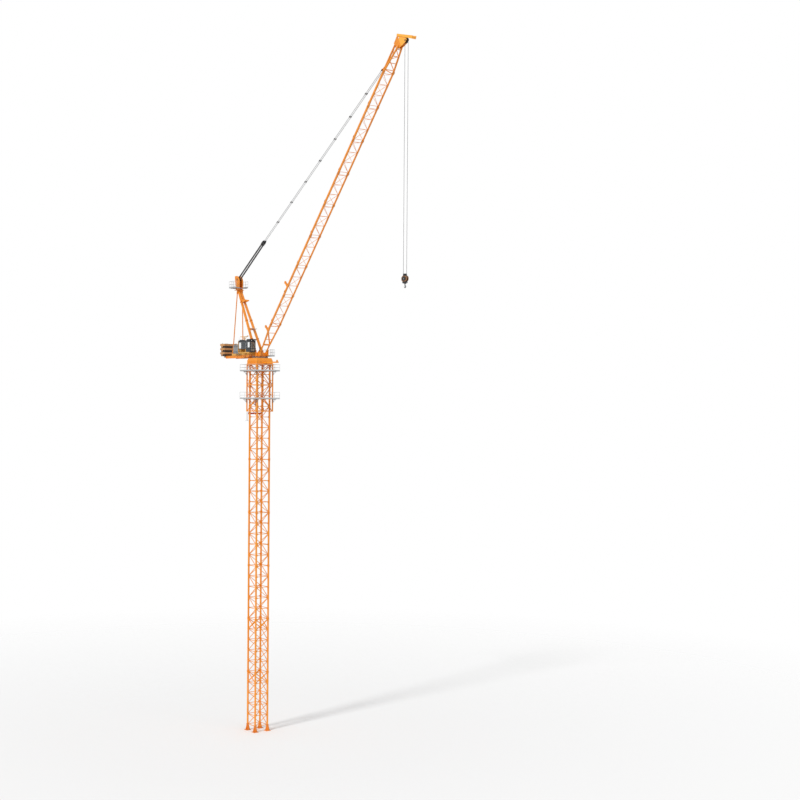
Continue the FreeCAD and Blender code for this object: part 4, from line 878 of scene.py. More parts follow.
def railing(shape, corners, floor, bays=3, closed=False, height=railing_height):
    """Adds a tube railing along corners, with posts between them."""
    points = []
    ends = list(corners) + ([corners[0]] if closed else [])
    for start, end in zip(ends, ends[1:]):
        for step in range(bays):
            points.append(Vector(start).lerp(Vector(end), step / bays))
    if not closed:
        points.append(Vector(ends[-1]))
    path = bpy.data.meshes.new("railing_path")
    edges = [(index, index + 1) for index in range(len(points) - 1)]
    if closed:
        edges.append((len(points) - 1, 0))
    path.from_pydata([(point[0], point[1], floor) for point in points], edges, [])
    sizes = {
        "Height": height - railing_tube, "Tube Radius": railing_tube,
        "Kick Height": kick_height, "Kick Thickness": kick_thickness,
    }
    shape.grown(zinc, RAILINGS, sizes, path=path)


def sheave(shape, finish, centre, radius, width, bore, across=ACROSS, steps=36):
    """Adds a grooved rope wheel with a dished web and a hub."""
    half = width / 2
    rim = radius * 0.8
    hub = bore * 1.9
    web = half * 0.35
    profile = [
        (bore, -half), (hub, -half), (hub, -web), (rim, -web), (rim, -half), (radius, -half),
        (radius, -half * 0.75), (radius * 0.9, -half * 0.22),
        (radius * 0.9, half * 0.22), (radius, half * 0.75),
        (radius, half), (rim, half), (rim, web), (hub, web), (hub, half), (bore, half),
    ]
    shape.lathe(finish, profile, centre, centre + across, steps)


# ==== Tower ====

FOUR_SIDES = [turn(90 * quarter) for quarter in range(4)]


def leg_couplers():
    """Bolted and pinned sleeves on the legs where the tower's sections meet."""
    ring = Shape()
    half = coupler_half
    low, high = -coupler_height / 2, coupler_height / 2
    for z_range in ((low, -1.2), (1.2, high)):
        ring.block(
            orange_tower, (leg_offset - half, leg_offset + half),
            (leg_offset - half, leg_offset + half), z_range,
        )
    for level in (low / 2, high / 2):
        reach = half + 3.0
        ring.rod(
            orange_tower,
            (leg_offset - reach, leg_offset, level), (leg_offset + reach, leg_offset, level), 3.2, sides=10,
        )
        ring.rod(
            orange_tower,
            (leg_offset, leg_offset - reach, level), (leg_offset, leg_offset + reach, level), 3.2, sides=10,
        )
    ring = ring.copied(FOUR_SIDES)
    shape = Shape()
    step = section_panels * panel_height
    row(shape, orange_tower, ring, foot_height + step, step, tower_panels // section_panels)
    piece("leg_couplers", shape, "tower")


def brace_gussets():
    """Gusset plates with two bolts where the braces meet the legs, all the way up the tower."""
    level = Shape()
    face = -leg_offset
    inner = leg_offset - leg_half
    near = face - gusset_thickness / 2
    for side in (-1, 1):
        outline = [
            (side * inner, near, -gusset_height / 2),
            (side * (inner - gusset_reach), near, -brace_half),
            (side * (inner - gusset_reach), near, brace_half),
            (side * inner, near, gusset_height / 2),
        ]
        level.plate(orange_tower, outline, (0, gusset_thickness, 0))
        for bolt_z in (-gusset_height / 4, gusset_height / 4):
            level.bolt(orange_tower, (side * (inner - 6.0), near, bolt_z), (0, -1, 0))
        level.bolt(orange_tower, (side * (inner - gusset_reach + 6.0), face - brace_half, 0), (0, -1, 0))
    level = level.copied(FOUR_SIDES)
    shape = Shape()
    row(shape, orange_tower, level, foot_height + panel_height, panel_height, tower_panels - 1)
    piece("brace_gussets", shape, "tower")


def foot_fittings():
    """Collar, pins and hole rims on each cast-in foot."""
    shape = Shape()
    half = coupler_half + 2.0
    x_range = (leg_offset - half, leg_offset + half)
    shape.block(foot_paint, x_range, x_range, (foot_height - 10, foot_height - 4))
    shape.block(foot_paint, x_range, x_range, (foot_height + 1, foot_height + 7))
    for x in (-half + 4.5, half - 4.5):
        for y in (-half + 4.5, half - 4.5):
            spot = Vector((leg_offset + x, leg_offset + y, foot_height + 7))
            shape.bolt(dark_steel, spot, UP, 2.6, 3.0)
            shape.rod(dark_steel, spot - UP * 17, spot + UP * 5, 1.2, sides=8)
    for x in (-30.0, 30.0):
        for y in (-30.0, 30.0):
            centre = Vector((leg_offset + x, leg_offset + y, 8.0))
            rim = [(3.0, 0.0), (6.0, 0.0), (6.0, 1.4), (3.0, 1.4)]
            shape.lathe(dark_steel, rim, centre, centre + UP, steps=16)
    shape = shape.copied(FOUR_SIDES)
    piece("foot_fittings", shape, "tower")


# ==== Cage ====


def cage_rollers():
    """Guide rollers between the cage's posts and the tower's legs."""
    level = Shape()
    leg_face = leg_offset + leg_half
    post_face = cage_half - cage_bar_half
    axle_x = leg_face + roller_radius + 0.4
    for y in (leg_offset - 5.0, ):
        level.block(orange_tower, (axle_x - 2, post_face + 2), (y - 7, y - 5), (-11, 11))
        level.block(orange_tower, (axle_x - 2, post_face + 2), (y + 5, y + 7), (-11, 11))
        level.rod(orange_tower, (axle_x, y - 9, 0), (axle_x, y + 9, 0), 2.0, sides=10)
        level.rod(orange_tower, (axle_x, y - 4.5, 0), (axle_x, y + 4.5, 0), roller_radius, sides=18)
        level.block(orange_tower, (post_face - 1, post_face + 2), (y - 9, y + 16), (-13, 13))
    level = level.copied(FOUR_SIDES)
    shape = Shape()
    levels = 4
    step = (cage_high.z - cage_low.z - 90.0) / (levels - 1)
    row(shape, orange_tower, level, cage_low.z + 45.0, step, levels)
    piece("cage_rollers", shape, "tower")


def cage_fittings():
    """Corner gussets and bolts of the climbing cage."""
    level = Shape()
    face = -cage_half - cage_bar_half
    inner = cage_half - cage_bar_half
    for side in (-1, 1):
        outline = [
            (side * (inner + 12), face, -16), (side * (inner - 16), face, -8),
            (side * (inner - 16), face, 8), (side * (inner + 12), face, 16),
        ]
        level.plate(orange_tower, outline, (0, -2.0, 0))
        for x, z in ((inner + 6, -7), (inner + 6, 7), (inner - 10, -3), (inner - 10, 3)):
            level.bolt(orange_tower, (side * x, face - 2.0, z), (0, -1, 0))
    level = level.copied(FOUR_SIDES)
    shape = Shape()
    count = 4
    step = (cage_high.z - cage_low.z - 40.0) / (count - 1)
    row(shape, orange_tower, level, cage_low.z + 20.0, step, count)
    piece("cage_fittings", shape, "tower")


def deck(name, node):
    """One working deck: four gratings, edge frames and brackets."""
    low, high = node_box(node)
    top = high.z
    shape = Shape()
    for side in (-1, 1):
        x_range = (side * deck_inner, side * deck_half)
        grating(shape, x_range, (-deck_half, deck_half), top, along_x=False)
        grating(shape, (-deck_inner, deck_inner), x_range, top)
    bracket = Shape()
    under = top - deck_thickness
    for x in (-cage_half, cage_half):
        bracket.block(
            zinc_deck, (x - 2, x + 2), (-deck_inner - deck_bracket, -deck_inner), (under - 8, under),
        )
        bracket.block(
            zinc_deck, (x - 2, x + 2), (-deck_inner - 6, -deck_inner), (under - deck_bracket, under),
        )
        bracket.rod(
            zinc_deck, (x, -deck_inner - 3, under - deck_bracket + 4),
            (x, -deck_inner - deck_bracket + 4, under - 4),
            2.4, sides=8,
        )
    shape.repeated(bracket, FOUR_SIDES)
    piece(name, shape, "tower", replaces=(node,))


def deck_railings():
    """Tube railings round both working decks."""
    shape = Shape()
    inset = deck_half - railing_tube
    corners = [(-inset, -inset), (inset, -inset), (inset, inset), (-inset, inset)]
    for node in ("lower_deck", "upper_deck"):
        floor = node_box(node)[1].z
        railing(shape, [Vector((*corner, 0)) for corner in corners], floor, closed=True)
    piece("deck_tube_railings", shape, "tower", replaces=("deck_railings",))


def climbing_gear():
    """Crosshead with its end shoes, and the hydraulic cylinder that pushes the cage from it."""
    low, high = node_box("climbing_gear")
    shape = Shape()
    beam_top = low.z + 26.0
    middle = (low.x + high.x) / 2
    shape.block(red_paint, (low.x + 4, high.x - 1), (low.y, high.y), (low.z + 3, beam_top - 3))
    for z_range in ((low.z, low.z + 3), (beam_top - 3, beam_top)):
        shape.block(red_paint, (low.x, high.x), (low.y, high.y), z_range)
    for side in (-1, 1):
        y = side * leg_offset
        shape.block(red_paint, (low.x + 1, high.x), (y - 15, y + 15), (low.z - 2, beam_top + 6))
        shape.rod(chrome, (low.x, y, low.z + 13), (low.x - 4, y, low.z + 13), 5.0, sides=14)
    barrel_foot = beam_top + 120.0
    shape.rod(chrome, (middle, 0, beam_top), (middle, 0, barrel_foot), 3.6, sides=16)
    shape.rod(red_paint, (middle, 0, barrel_foot), (middle, 0, high.z - 16), 6.4, sides=20)
    shape.rod(dark_steel, (middle, 0, barrel_foot - 4), (middle, 0, barrel_foot + 8), 7.6, sides=20)
    shape.rod(dark_steel, (middle, -12, high.z - 8), (middle, 12, high.z - 8), 3.5, sides=14)
    shape.block(red_paint, (low.x, high.x), (-16, 16), (high.z - 16, high.z))
    for z in (barrel_foot + 14, high.z - 30):
        shape.rod(dark_steel, (middle, -6, z), (middle, -11, z), 2.2, sides=10)
    line = [
        Vector((middle, -11, barrel_foot + 14)), Vector((middle, -16, barrel_foot + 22)),
        Vector((middle, -16, high.z - 38)), Vector((middle, -11, high.z - 30)),
    ]
    shape.sweep(black_rubber, line, [1.5] * 4, sides=8)
    piece("climbing_hydraulics", shape, "tower", replaces=("climbing_gear",))


# ==== Ring ====


def ring_fittings():
    """Stiffeners on the ring support, and the ring's bolts and teeth."""
    low, high = node_box("ring_support")
    half = high.x
    shape = Shape()
    for x in (-90.0, -30.0, 30.0, 90.0):
        outline = [(x - 2, -half, low.z + 6), (x - 2, -half - 7, low.z + 12), (x - 2, -half - 7, high.z - 50),
                   (x - 2, -half, high.z - 44)]
        shape.plate(orange_tower, outline, (4, 0, 0))
    shape.block(orange_tower, (-half, half), (-half - 5, -half), (low.z, low.z + 6))
    for x in (-120.0, -60.0, 0.0, 60.0, 120.0):
        shape.bolt(orange_tower, (x, -half - 2.5, low.z + 6), UP)
    shape = shape.copied(FOUR_SIDES)
    ring_low, ring_high = node_box("slewing_ring")
    tooth = Shape()
    tooth.plate(
        steel, [(-2, -2.6, 0), (4.4, -1.3, 0), (4.4, 1.3, 0), (-2, 2.6, 0)],
        (0, 0, ring_high.z - ring_low.z - 6),
    )
    copy = copy_source("tooth_source", tooth)
    sizes = {"Copy": copy, "Radius": ring_high.x, "Level": ring_low.z + 3, "Count": 120}
    shape.grown(steel, RINGS, sizes)
    bolt_circle(shape, steel, ring_high.x - 10, ring_high.z, 40, height=2.4)
    piece("ring_fittings", shape, "tower")


# ==== Slewing platform and counter-jib ====


def platform_fittings():
    """Edge flanges and ribs of the slewing platform, and the jib pins' keeper plates."""
    half = 105.0
    shape = Shape()
    for side in (-1, 1):
        y = side * half
        shape.block(orange_crane, (-182, 74), (y, y + side * 6), (6047, 6050))
        shape.block(orange_crane, (-92, 74), (y, y + side * 6), (6103, 6106))
        for x in (-150.0, -90.0, -20.0, 50.0):
            top = 6103.0 if x > -95 else 6080.0
            shape.block(orange_crane, (x - 1.5, x + 1.5), (y, y + side * 6), (6050, top))
        pin = Vector((jib_pivot.x, side * 81.0, jib_pivot.z))
        shape.rod(steel, pin, pin + ACROSS * side * 5, 10.5, sides=24)
        shape.block(dark_steel, (pin.x - 14, pin.x + 14), (pin.y, pin.y + side * 3), (pin.z - 16, pin.z - 9))
        for x in (-10.0, 10.0):
            shape.bolt(dark_steel, (pin.x + x, pin.y + side * 3, pin.z - 12.5), (0, side, 0))
        foot = Vector((-63.0, side * 64.0, 6146.0))
        shape.block(
            orange_crane, (foot.x - 30, foot.x + 30), (foot.y - 22, foot.y + 22), (foot.z - 4, foot.z),
        )
        for x in (-24.0, 24.0):
            for y_offset in (-16.0, 16.0):
                shape.bolt(dark_steel, (foot.x + x, foot.y + y_offset, foot.z), UP, 2.8, 2.6)
    piece("platform_fittings", shape, "upperworks")


def i_beam(shape, finish, x_range, y, z_range, half_width=girder_half_width):
    """Adds a rolled beam along X."""
    low, high = z_range
    shape.block(finish, x_range, (y - half_width, y + half_width), (low, low + girder_flange))
    shape.block(finish, x_range, (y - half_width, y + half_width), (high - girder_flange, high))
    shape.block(
        finish, x_range, (y - girder_web / 2, y + girder_web / 2),
        (low + girder_flange, high - girder_flange),
    )


def counter_jib():
    """Rolled girders with stiffeners, cross beams, wind bracing and the ballast carrier."""
    low, high = girder_low, girder_high
    shape = Shape()
    front = -190.0
    rear = -910.0
    top = 6070.0
    for side in (-1, 1):
        y = side * girder_half_spacing
        i_beam(shape, orange_crane, (rear, front), y, (low.z, top))
        for x in range(-880, -190, 115):
            shape.block(
                orange_crane, (x - 1.5, x + 1.5), (y - girder_half_width + 1, y + girder_half_width - 1),
                (low.z + girder_flange, top - girder_flange),
            )
        shape.block(orange_crane, (rear, rear + 4), (y - 12, y + 12), (low.z, top))
        carrier = side * 55.0
        i_beam(shape, gold_paint, (low.x, rear + 60), carrier, (top - 25, top - 3), 11.0)
    for x in (rear, -866.0, -690.0, -450.0, -220.0):
        shape.block(
            orange_crane, (x, x + 16), (-girder_half_spacing, girder_half_spacing), (low.z + 8, low.z + 12),
        )
        shape.block(
            orange_crane, (x, x + 16), (-girder_half_spacing, girder_half_spacing), (top - 7, top - 3),
        )
        shape.block(
            orange_crane, (x + 6, x + 10), (-girder_half_spacing, girder_half_spacing), (low.z + 12, top - 7),
        )
    bays = (-858.0, -682.0, -442.0, -212.0)
    for index, (start, end) in enumerate(zip(bays, bays[1:])):
        for direction in (-1, 1):
            shape.rod(
                orange_crane, (start + 8, direction * 88, low.z + 16),
                (end, -direction * 88, low.z + 16), 4.0, sides=8
            )
    piece("counter_jib_girders", shape, "upperworks", replaces=("counter_jib_frame",))


def bed_floor():
    """Gratings laid in the machine bed between its rails."""
    shape = Shape()
    half = 84.0
    top = bed_high.z
    stations = [bed_low.x + 24.0 + (bed_high.x - bed_low.x - 24.0) * step / 4 for step in range(4)]
    span = (bed_high.x - bed_low.x - 24.0) / 4 - 24.0
    for x in stations:
        grating(shape, (x, x + span), (-half, half), top - 1.0, along_x=False)
    piece("bed_gratings", shape, "upperworks")


def ballast(index):
    """One ballast slab: wide upper body, recessed lower body painted near black as painted shade in the
    recess, and two lifting eyes.
    """
    node = f"ballast_slab_{index + 1}"
    low, high = node_box(node)
    high.z = low.z + slab_height
    shape = Shape()
    chamfer = 10.0
    split = low.z + slab_recess_height

    def outline(inset, level):
        return [
            (high.x - inset, low.y + chamfer + inset, level),
            (high.x - chamfer - inset, low.y + inset, level),
            (low.x + chamfer + inset, low.y + inset, level), (low.x + inset, low.y + chamfer + inset, level),
            (low.x + inset, high.y - chamfer - inset, level),
            (low.x + chamfer + inset, high.y - inset, level),
            (high.x - chamfer - inset, high.y - inset, level),
            (high.x - inset, high.y - chamfer - inset, level),
        ]

    shape.plate(ballast_paint, outline(0.0, split), (0, 0, high.z - split))
    # Recessed lower body in near-black painted shade.
    shape.plate(ballast_painted_shade, outline(11.0, low.z), (0, 0, split - low.z))
    middle = (low.x + high.x) / 2
    for side in (-1, 1):
        spot = Vector((middle, side * (high.y - 10), high.z))
        eye = [spot + Vector((14 * math.cos(angle), 0, 13 * math.sin(angle)))
               for angle in (0.0, 0.6, 1.2, 1.9, 2.5, math.pi)]
        if index == 2:
            shape.sweep(dark_steel, eye, [2.2] * len(eye), sides=8)
        shape.block(
            ballast_paint, (middle - 20, middle + 20),
            (side * (high.y - 4), side * high.y), (low.z + 6, split),
        )
        # Dark strips on the slab's top: near-black painted shade between stacked slabs.
        shape.block(
            ballast_painted_shade, (low.x + 4, high.x - 4), (side * 84 - 14, side * 84 + 14), (high.z, high.z + 3),
        )
    piece(f"ballast_block_{index + 1}", shape, "upperworks", replaces=(node,), bevel=1.6)


# ==== A-frame ====


def a_frame_point(side, level):
    """Centre of an A-frame leg at a level."""
    share = (level - a_frame_foot.z) / (a_frame_crown.z - a_frame_foot.z)
    point = a_frame_foot.lerp(a_frame_crown, share)
    return Vector((point.x, side * point.y, point.z))


def a_frame_fittings():
    """Bolted flanges along the A-frame's legs, foot forks, rear tie forks and their pins."""
    shape = Shape()
    for side in (-1, 1):
        foot, head = a_frame_point(side, a_frame_foot.z), a_frame_point(side, a_frame_crown.z)
        run = (head - foot).normalized()
        for level in a_frame_flange_levels:
            centre = a_frame_point(side, level)
            matrix = towards(centre, centre + run)
            for along in (-3.4, 0.4):
                shape.block(orange_crane, (-20, 20), (-24, 24), (along, along + 3.0), place=matrix)
            for x in (-16.5, 16.5):
                for y in (-19.0, 0.0, 19.0):
                    start = matrix @ Vector((x, y, -6.0))
                    end = matrix @ Vector((x, y, 6.0))
                    shape.rod(dark_steel, start, end, 1.8, sides=6)
        foot_pin = a_frame_point(side, a_frame_foot.z + a_frame_pin_rise)
        shape.rod(steel, foot_pin - ACROSS * 22, foot_pin + ACROSS * 22, 7.0, sides=18)
        for offset in (-19.0, 17.0):
            shape.block(
                orange_crane, (foot_pin.x - 20, foot_pin.x + 18),
                (foot_pin.y + offset, foot_pin.y + offset + 3),
                (6146, 6186),
            )
        tie_foot = Vector((tie_low.x + tie_half, side * (tie_high.y - tie_half), bed_high.z))
        tie_head = Vector((tie_high.x - tie_half, side * tie_head_spread, tie_high.z))
        tie_run = (tie_head - tie_foot).normalized()
        for start, length in ((tie_foot, 46.0), (tie_head - tie_run * 62.0, 62.0)):
            fork = towards(start, start + tie_run, Vector((1, 0, 0)))
            for offset in (-9.0, 6.5):
                shape.block(orange_crane, (-9, 9), (offset, offset + 2.5), (0, length), place=fork)
            pin = start + tie_run * (length / 2)
            shape.rod(steel, pin - ACROSS * 11, pin + ACROSS * 11, 4.0, sides=14)
    piece("a_frame_fittings", shape, "upperworks")


def luffing_head_sheaves():
    """Row of luffing sheaves on the head's axle, with spacer rings and axle caps."""
    shape = Shape()
    for part in range(luffing_rope_parts):
        y = (part - (luffing_rope_parts - 1) / 2) * luffing_rope_pitch
        centre = luffing_head + ACROSS * y
        sheave(shape, black_paint, centre, luffing_sheave_radius, 7.0, 9.0)
    for side in (-1, 1):
        face = luffing_head + ACROSS * side * 36
        shape.rod(steel, face, face + ACROSS * side * 5, 12.0, sides=24)
        place = towards(face, face + ACROSS * side)
        bolt_circle(shape, dark_steel, 17.0, 0.0, 6, place=place, bolt=2.2, height=2.4)
    piece("luffing_head_sheaves", shape, "upperworks")


def head_platform():
    """Service deck and railing round the A-frame's head."""
    low, high = node_box("head_platform")
    floor = low.z + 6.0
    shape = Shape()
    half = high.y
    opening = 36.0
    grating(shape, (low.x, high.x), (opening, half), floor)
    grating(shape, (low.x, high.x), (-half, -opening), floor)
    grating(shape, (low.x, -770.0), (-opening, opening), floor)
    inset = half - railing_tube
    corners = [
        Vector((high.x - railing_tube, -inset, 0)), Vector((low.x + railing_tube, -inset, 0)),
        Vector((low.x + railing_tube, inset, 0)), Vector((high.x - railing_tube, inset, 0)),
    ]
    railing(shape, corners, floor)
    for x in (-760.0, -620.0):
        shape.block(zinc_deck, (x - 3, x + 3), (-half + 4, half - 4), (floor - 16, floor - 8))
    piece("head_service_deck", shape, "upperworks", replaces=("head_platform",))


def mid_platform():
    """Small landing between the A-frame's legs with its cross beam and braces under its floor."""
    low, high = node_box("mid_platform")
    shape = Shape()
    floor = 6500.0
    half = min(abs(low.y), high.y)
    rear = low.x
    shape.block(orange_crane, (rear, rear + 4), (-half, half), (floor - 20, floor + 14))
    shape.block(orange_crane, (rear + 16, rear + 20), (-half, half), (floor - 20, floor + 14))
    shape.block(orange_crane, (rear, rear + 20), (-half, half), (floor - 6, floor - 2))
    grating(shape, (rear + 20, high.x), (-half, half), floor)
    for side in (-1, 1):
        y = side * (half - 5)
        shape.rod(orange_crane, (rear + 18, y, floor - 18), (high.x - 20, y, floor - 7), 2.6, sides=8)
    piece("mid_landing", shape, "upperworks", replaces=("mid_platform",))


# ==== Cab and machinery ====


def cab_windows():
    """Places of the cab's panes: name, the wall's axis, its outer face, and the pane's run and rise."""
    low, high = node_box("cab_shell")
    top = high.z - window_head
    beside_driver = (high.x - window_margin - side_window_length, high.x - window_margin)
    across = (low.y + window_margin, high.y - window_margin)
    beside_annex = (low.x + annex_window_margin, low.x + annex_window_margin + annex_window_length)
    sill = low.z + window_sill
    return (
        ("side_front", "y", low.y, beside_driver, (top - side_window_drop, top)),
        ("side_rear", "y", low.y, beside_annex, (low.z + annex_rise + window_margin, top)),
        ("front_upper", "x", high.x, across, (sill, top)),
        ("front_lower", "x", high.x, across, (low.z + window_foot, sill - window_margin)),
        ("inner_side", "y", high.y, beside_driver, (sill, top)),
    )


def cab_panes():
    """The cab's glazing: panes in the side wall painted bright as painted reflection, and dark ones in the
    front with a warm painted reflection.
    """
    shape = Shape()
    for name, axis, face, run, rise in cab_windows():
        inward = -cab_wall if axis == "x" or name == "inner_side" else cab_wall
        # Side panes get the bright painted reflection; the others get the dark one with its warm painted
        # reflection.
        finish = white_reflection_glass if name in ("side_front", "side_rear") else dark_reflection_glass
        depth = (face + inward, face)
        if axis == "y":
            shape.block(finish, run, (min(depth), max(depth)), rise)
        else:
            shape.block(finish, (min(depth), max(depth)), run, rise)
    piece("cab_panes", shape, "upperworks", replaces=("cab_glass",))


def cab_trim():
    """Window seals, door, louvres, handles, wiper, lamps, driver's seat and consoles."""
    low, high = node_box("cab_shell")
    shape = Shape()
    near = low.y
    seal = 2.2
    for name, axis, face, run, rise in cab_windows():
        out = -1.6 if face == near else 1.6
        for start, end in ((run[0] - seal, run[0]), (run[1], run[1] + seal)):
            frame_block(shape, axis, face, out, (start, end), (rise[0] - seal, rise[1] + seal))
        for start, end in ((rise[0] - seal, rise[0]), (rise[1], rise[1] + seal)):
            frame_block(shape, axis, face, out, run, (start, end))
    annex_front = high.x - cab_length
    annex_floor = low.z + annex_rise
    vent = (low.x + 104.0, annex_front - 8.0)
    shape.block(cab_grey, vent, (near - 1.6, near), (annex_floor + 8, high.z - 16))
    slat = Shape()
    half = (vent[1] - vent[0]) / 2 - 6
    slat.block(cab_grey, (-half, half), (-2.6, 0.4), (-0.8, 0.8), place=turn(25, "X"))
    place = Matrix.Translation(((vent[0] + vent[1]) / 2, near - 1.6, 0))
    row(shape, cab_grey, slat, annex_floor + 16, 5.0, 19, place=place)
    door = (annex_front + 4, annex_front + 44)
    shape.block(cab_grey, door, (near - 2.0, near), (low.z + 8, high.z - 8))
    shape.block(cab_dark, (door[0] + 6, door[1] - 6), (near - 2.8, near - 2.0), (low.z + 20, high.z - 60))
    shape.rod(
        chrome, (door[1] - 6, near - 6, low.z + 70), (door[1] - 6, near - 6, low.z + 100), 1.6, sides=10,
    )
    for z in (low.z + 30, high.z - 40):
        shape.rod(dark_steel, (door[0], near - 3, z - 8), (door[0], near - 3, z + 8), 2.2, sides=10)
    grab_x = annex_front - 3
    grab = [Vector((grab_x, near, low.z + 60)), Vector((grab_x, near - 9, low.z + 64)),
            Vector((grab_x, near - 9, high.z - 34)), Vector((grab_x, near, high.z - 30))]
    shape.sweep(zinc, grab, [1.6] * 4, sides=8)
    wiper = Vector((high.x + 2.6, (near + high.y) / 2 - 14, low.z + 64))
    shape.rod(black_rubber, wiper, wiper + Vector((0, 20, 66)), 1.2, sides=8)
    shape.rod(black_rubber, wiper + Vector((0, 8, 56)), wiper + Vector((0, 30, 74)), 1.6, sides=8)
    for y in (near + 20, high.y - 20):
        lamp = Vector((high.x + 2, y, high.z + 6))
        shape.rod(black_paint, lamp, lamp + Vector((9, 0, -1)), 6.5, sides=18)
        shape.rod(lamp_lens, lamp + Vector((9, 0, -1)), lamp + Vector((10, 0, -1)), 5.6, sides=18)
    floor = low.z + cab_wall
    seat_x = annex_front + 20
    middle = (near + high.y) / 2
    shape.block(seat_vinyl, (seat_x, seat_x + 42), (middle - 20, middle + 20), (floor + 36, floor + 46))
    shape.block(seat_vinyl, (seat_x - 7, seat_x + 3), (middle - 19, middle + 19), (floor + 44, floor + 104))
    shape.rod(dark_steel, (seat_x + 20, middle, floor), (seat_x + 20, middle, floor + 36), 8.0, sides=16)
    for side in (-1, 1):
        y = middle + side * 31
        shape.block(black_rubber, (seat_x - 2, seat_x + 44), (y - 7, y + 7), (floor + 20, floor + 62))
        shape.rod(dark_steel, (seat_x + 36, y, floor + 62), (seat_x + 39, y, floor + 76), 1.6, sides=10)
        shape.rod(black_rubber, (seat_x + 39, y, floor + 76), (seat_x + 40, y, floor + 84), 3.4, sides=12)
    piece("cab_trim", shape, "upperworks", bevel=0.5)


def frame_block(shape, axis, face, out, run, rise):
    """Adds one side of a window's seal on a wall that faces along X or Y."""
    if axis == "y":
        shape.block(black_rubber, run, (face, face + out), rise)
    else:
        shape.block(black_rubber, (face, face + out), run, rise)


def roof_fittings():
    """Cooling unit and aerial on the cab's roof."""
    low, high = node_box("cab_roof")
    shape = Shape()
    rear = low.x
    middle = (low.y + high.y) / 2
    top = low.z + 12
    shape.block(cab_grey, (rear + 14, rear + 66), (middle - 32, middle + 32), (top, top + 12))
    slat = Shape()
    slat.block(black_rubber, (-22, 22), (-1.0, 1.0), (-1.4, 1.4))
    place = Matrix.Translation((rear + 40, middle - 27, top + 12.5)) @ turn(-90, "X")
    row(shape, black_rubber, slat, 0.0, 6.0, 10, place=place)
    shape.rod(
        black_rubber, (rear + 8, low.y + 20, low.z + 12), (rear + 8, low.y + 20, low.z + 60), 1.0, sides=8,
    )
    piece("cab_roof_fittings", shape, "upperworks", bevel=0.6)


def winch_drums():
    """Hoist and luffing drums with their wound rope, flanges, motor and gearbox."""
    low, high = node_box("winch_drums")
    shape = Shape()
    level = (low.z + high.z) / 2
    radius = (high.z - low.z) / 2
    core = radius - drum_flange_depth
    half = 46.0
    for x in (low.x + radius, high.x - radius):
        axle = Vector((x, 0, level))
        shape.rod(steel, axle - ACROSS * 66, axle + ACROSS * 66, 9.0, sides=20)
        shape.rod(steel, axle - ACROSS * half, axle + ACROSS * half, core, sides=40)
        for side in (-1, 1):
            inner = axle + ACROSS * side * half
            rim = [
                (12, 0), (radius, 0), (radius, 5), (radius - 8, 5),
                (radius - 12, 3), (26, 3), (22, 6), (12, 6),
            ]
            shape.lathe(gold_paint, rim, inner, inner + ACROSS * side, steps=40)
        start = axle - ACROSS * (half - 1)
        sizes = {"Drum Radius": core, "Rope Radius": rope_radius, "Turns": 15}
        shape.grown(rope, WINDINGS, sizes, towards(start, axle))
        side_face = axle + ACROSS * 68
        shape.rod(cabinet_grey, side_face, side_face + ACROSS * 14, 34.0, sides=32)
        shape.rod(cabinet_grey, side_face + ACROSS * 14, side_face + ACROSS * 50, 19.0, sides=24)
        fin = Shape()
        fin.rod(cabinet_grey, (0, 0, 0), (0, 0, 1.4), 22.0, sides=24)
        row(
            shape, cabinet_grey, fin, 0.0, 4.0, 8,
            place=towards(side_face + ACROSS * 17, side_face + ACROSS * 60),
        )
    piece("winch_machinery", shape, "upperworks", replaces=("winch_drums",))


def winch_frame_fittings():
    """Stiffening edges and bolts of the winch's cheeks."""
    low, high = node_box("winch_frame")
    shape = Shape()
    for side in (-1, 1):
        face = side * high.y
        for z in (low.z + 16, low.z + 78, high.z - 12):
            shape.block(gold_paint, (low.x + 46, high.x - 46), (face, face + side * 4), (z - 2, z + 2))
        for x in (low.x + 12, (low.x + high.x) / 2, high.x - 12):
            shape.block(gold_paint, (x - 10, x + 10), (face, face + side * 12), (low.z, low.z + 4))
            shape.bolt(dark_steel, (x, face + side * 7, low.z + 4), UP, 2.8, 3.0)
    piece("winch_frame_fittings", shape, "upperworks", bevel=0.5)


def cabinet_fittings():
    """Doors, louvres, handles and a rain lip on the control cabinet."""
    low, high = node_box("control_cabinet")
    shape = Shape()
    face = low.y
    doors = 3
    width = (high.x - low.x) / doors
    for door in range(doors):
        start = low.x + door * width
        shape.block(cabinet_grey, (start + 2, start + width - 2), (face - 2, face), (low.z + 6, high.z - 6))
        shape.rod(
            chrome, (start + width - 8, face - 4, low.z + 46), (start + width - 8, face - 4, low.z + 62), 1.4,
        )
        slat = Shape()
        slat.block(
            cabinet_grey, (-width / 2 + 12, width / 2 - 12), (-2.4, 0.4), (-0.7, 0.7), place=turn(25, "X"),
        )
        place = Matrix.Translation((start + width / 2, face - 2, 0))
        row(shape, cabinet_grey, slat, low.z + 14, 4.0, 6, place=place)
        row(shape, cabinet_grey, slat, high.z - 34, 4.0, 6, place=place)
    shape.block(cabinet_grey, (low.x - 4, high.x + 4), (low.y - 5, high.y + 2), (high.z, high.z + 3))
    for x in (low.x + 16, high.x - 16):
        eye = [Vector((x + 7 * math.cos(a), (low.y + high.y) / 2, high.z + 3 + 7 * math.sin(a))) for a in
               (0.0, 0.8, 1.57, 2.3, math.pi)]
        shape.sweep(zinc, eye, [1.5] * 5, sides=8)
    piece("cabinet_doors", shape, "upperworks", bevel=0.4)


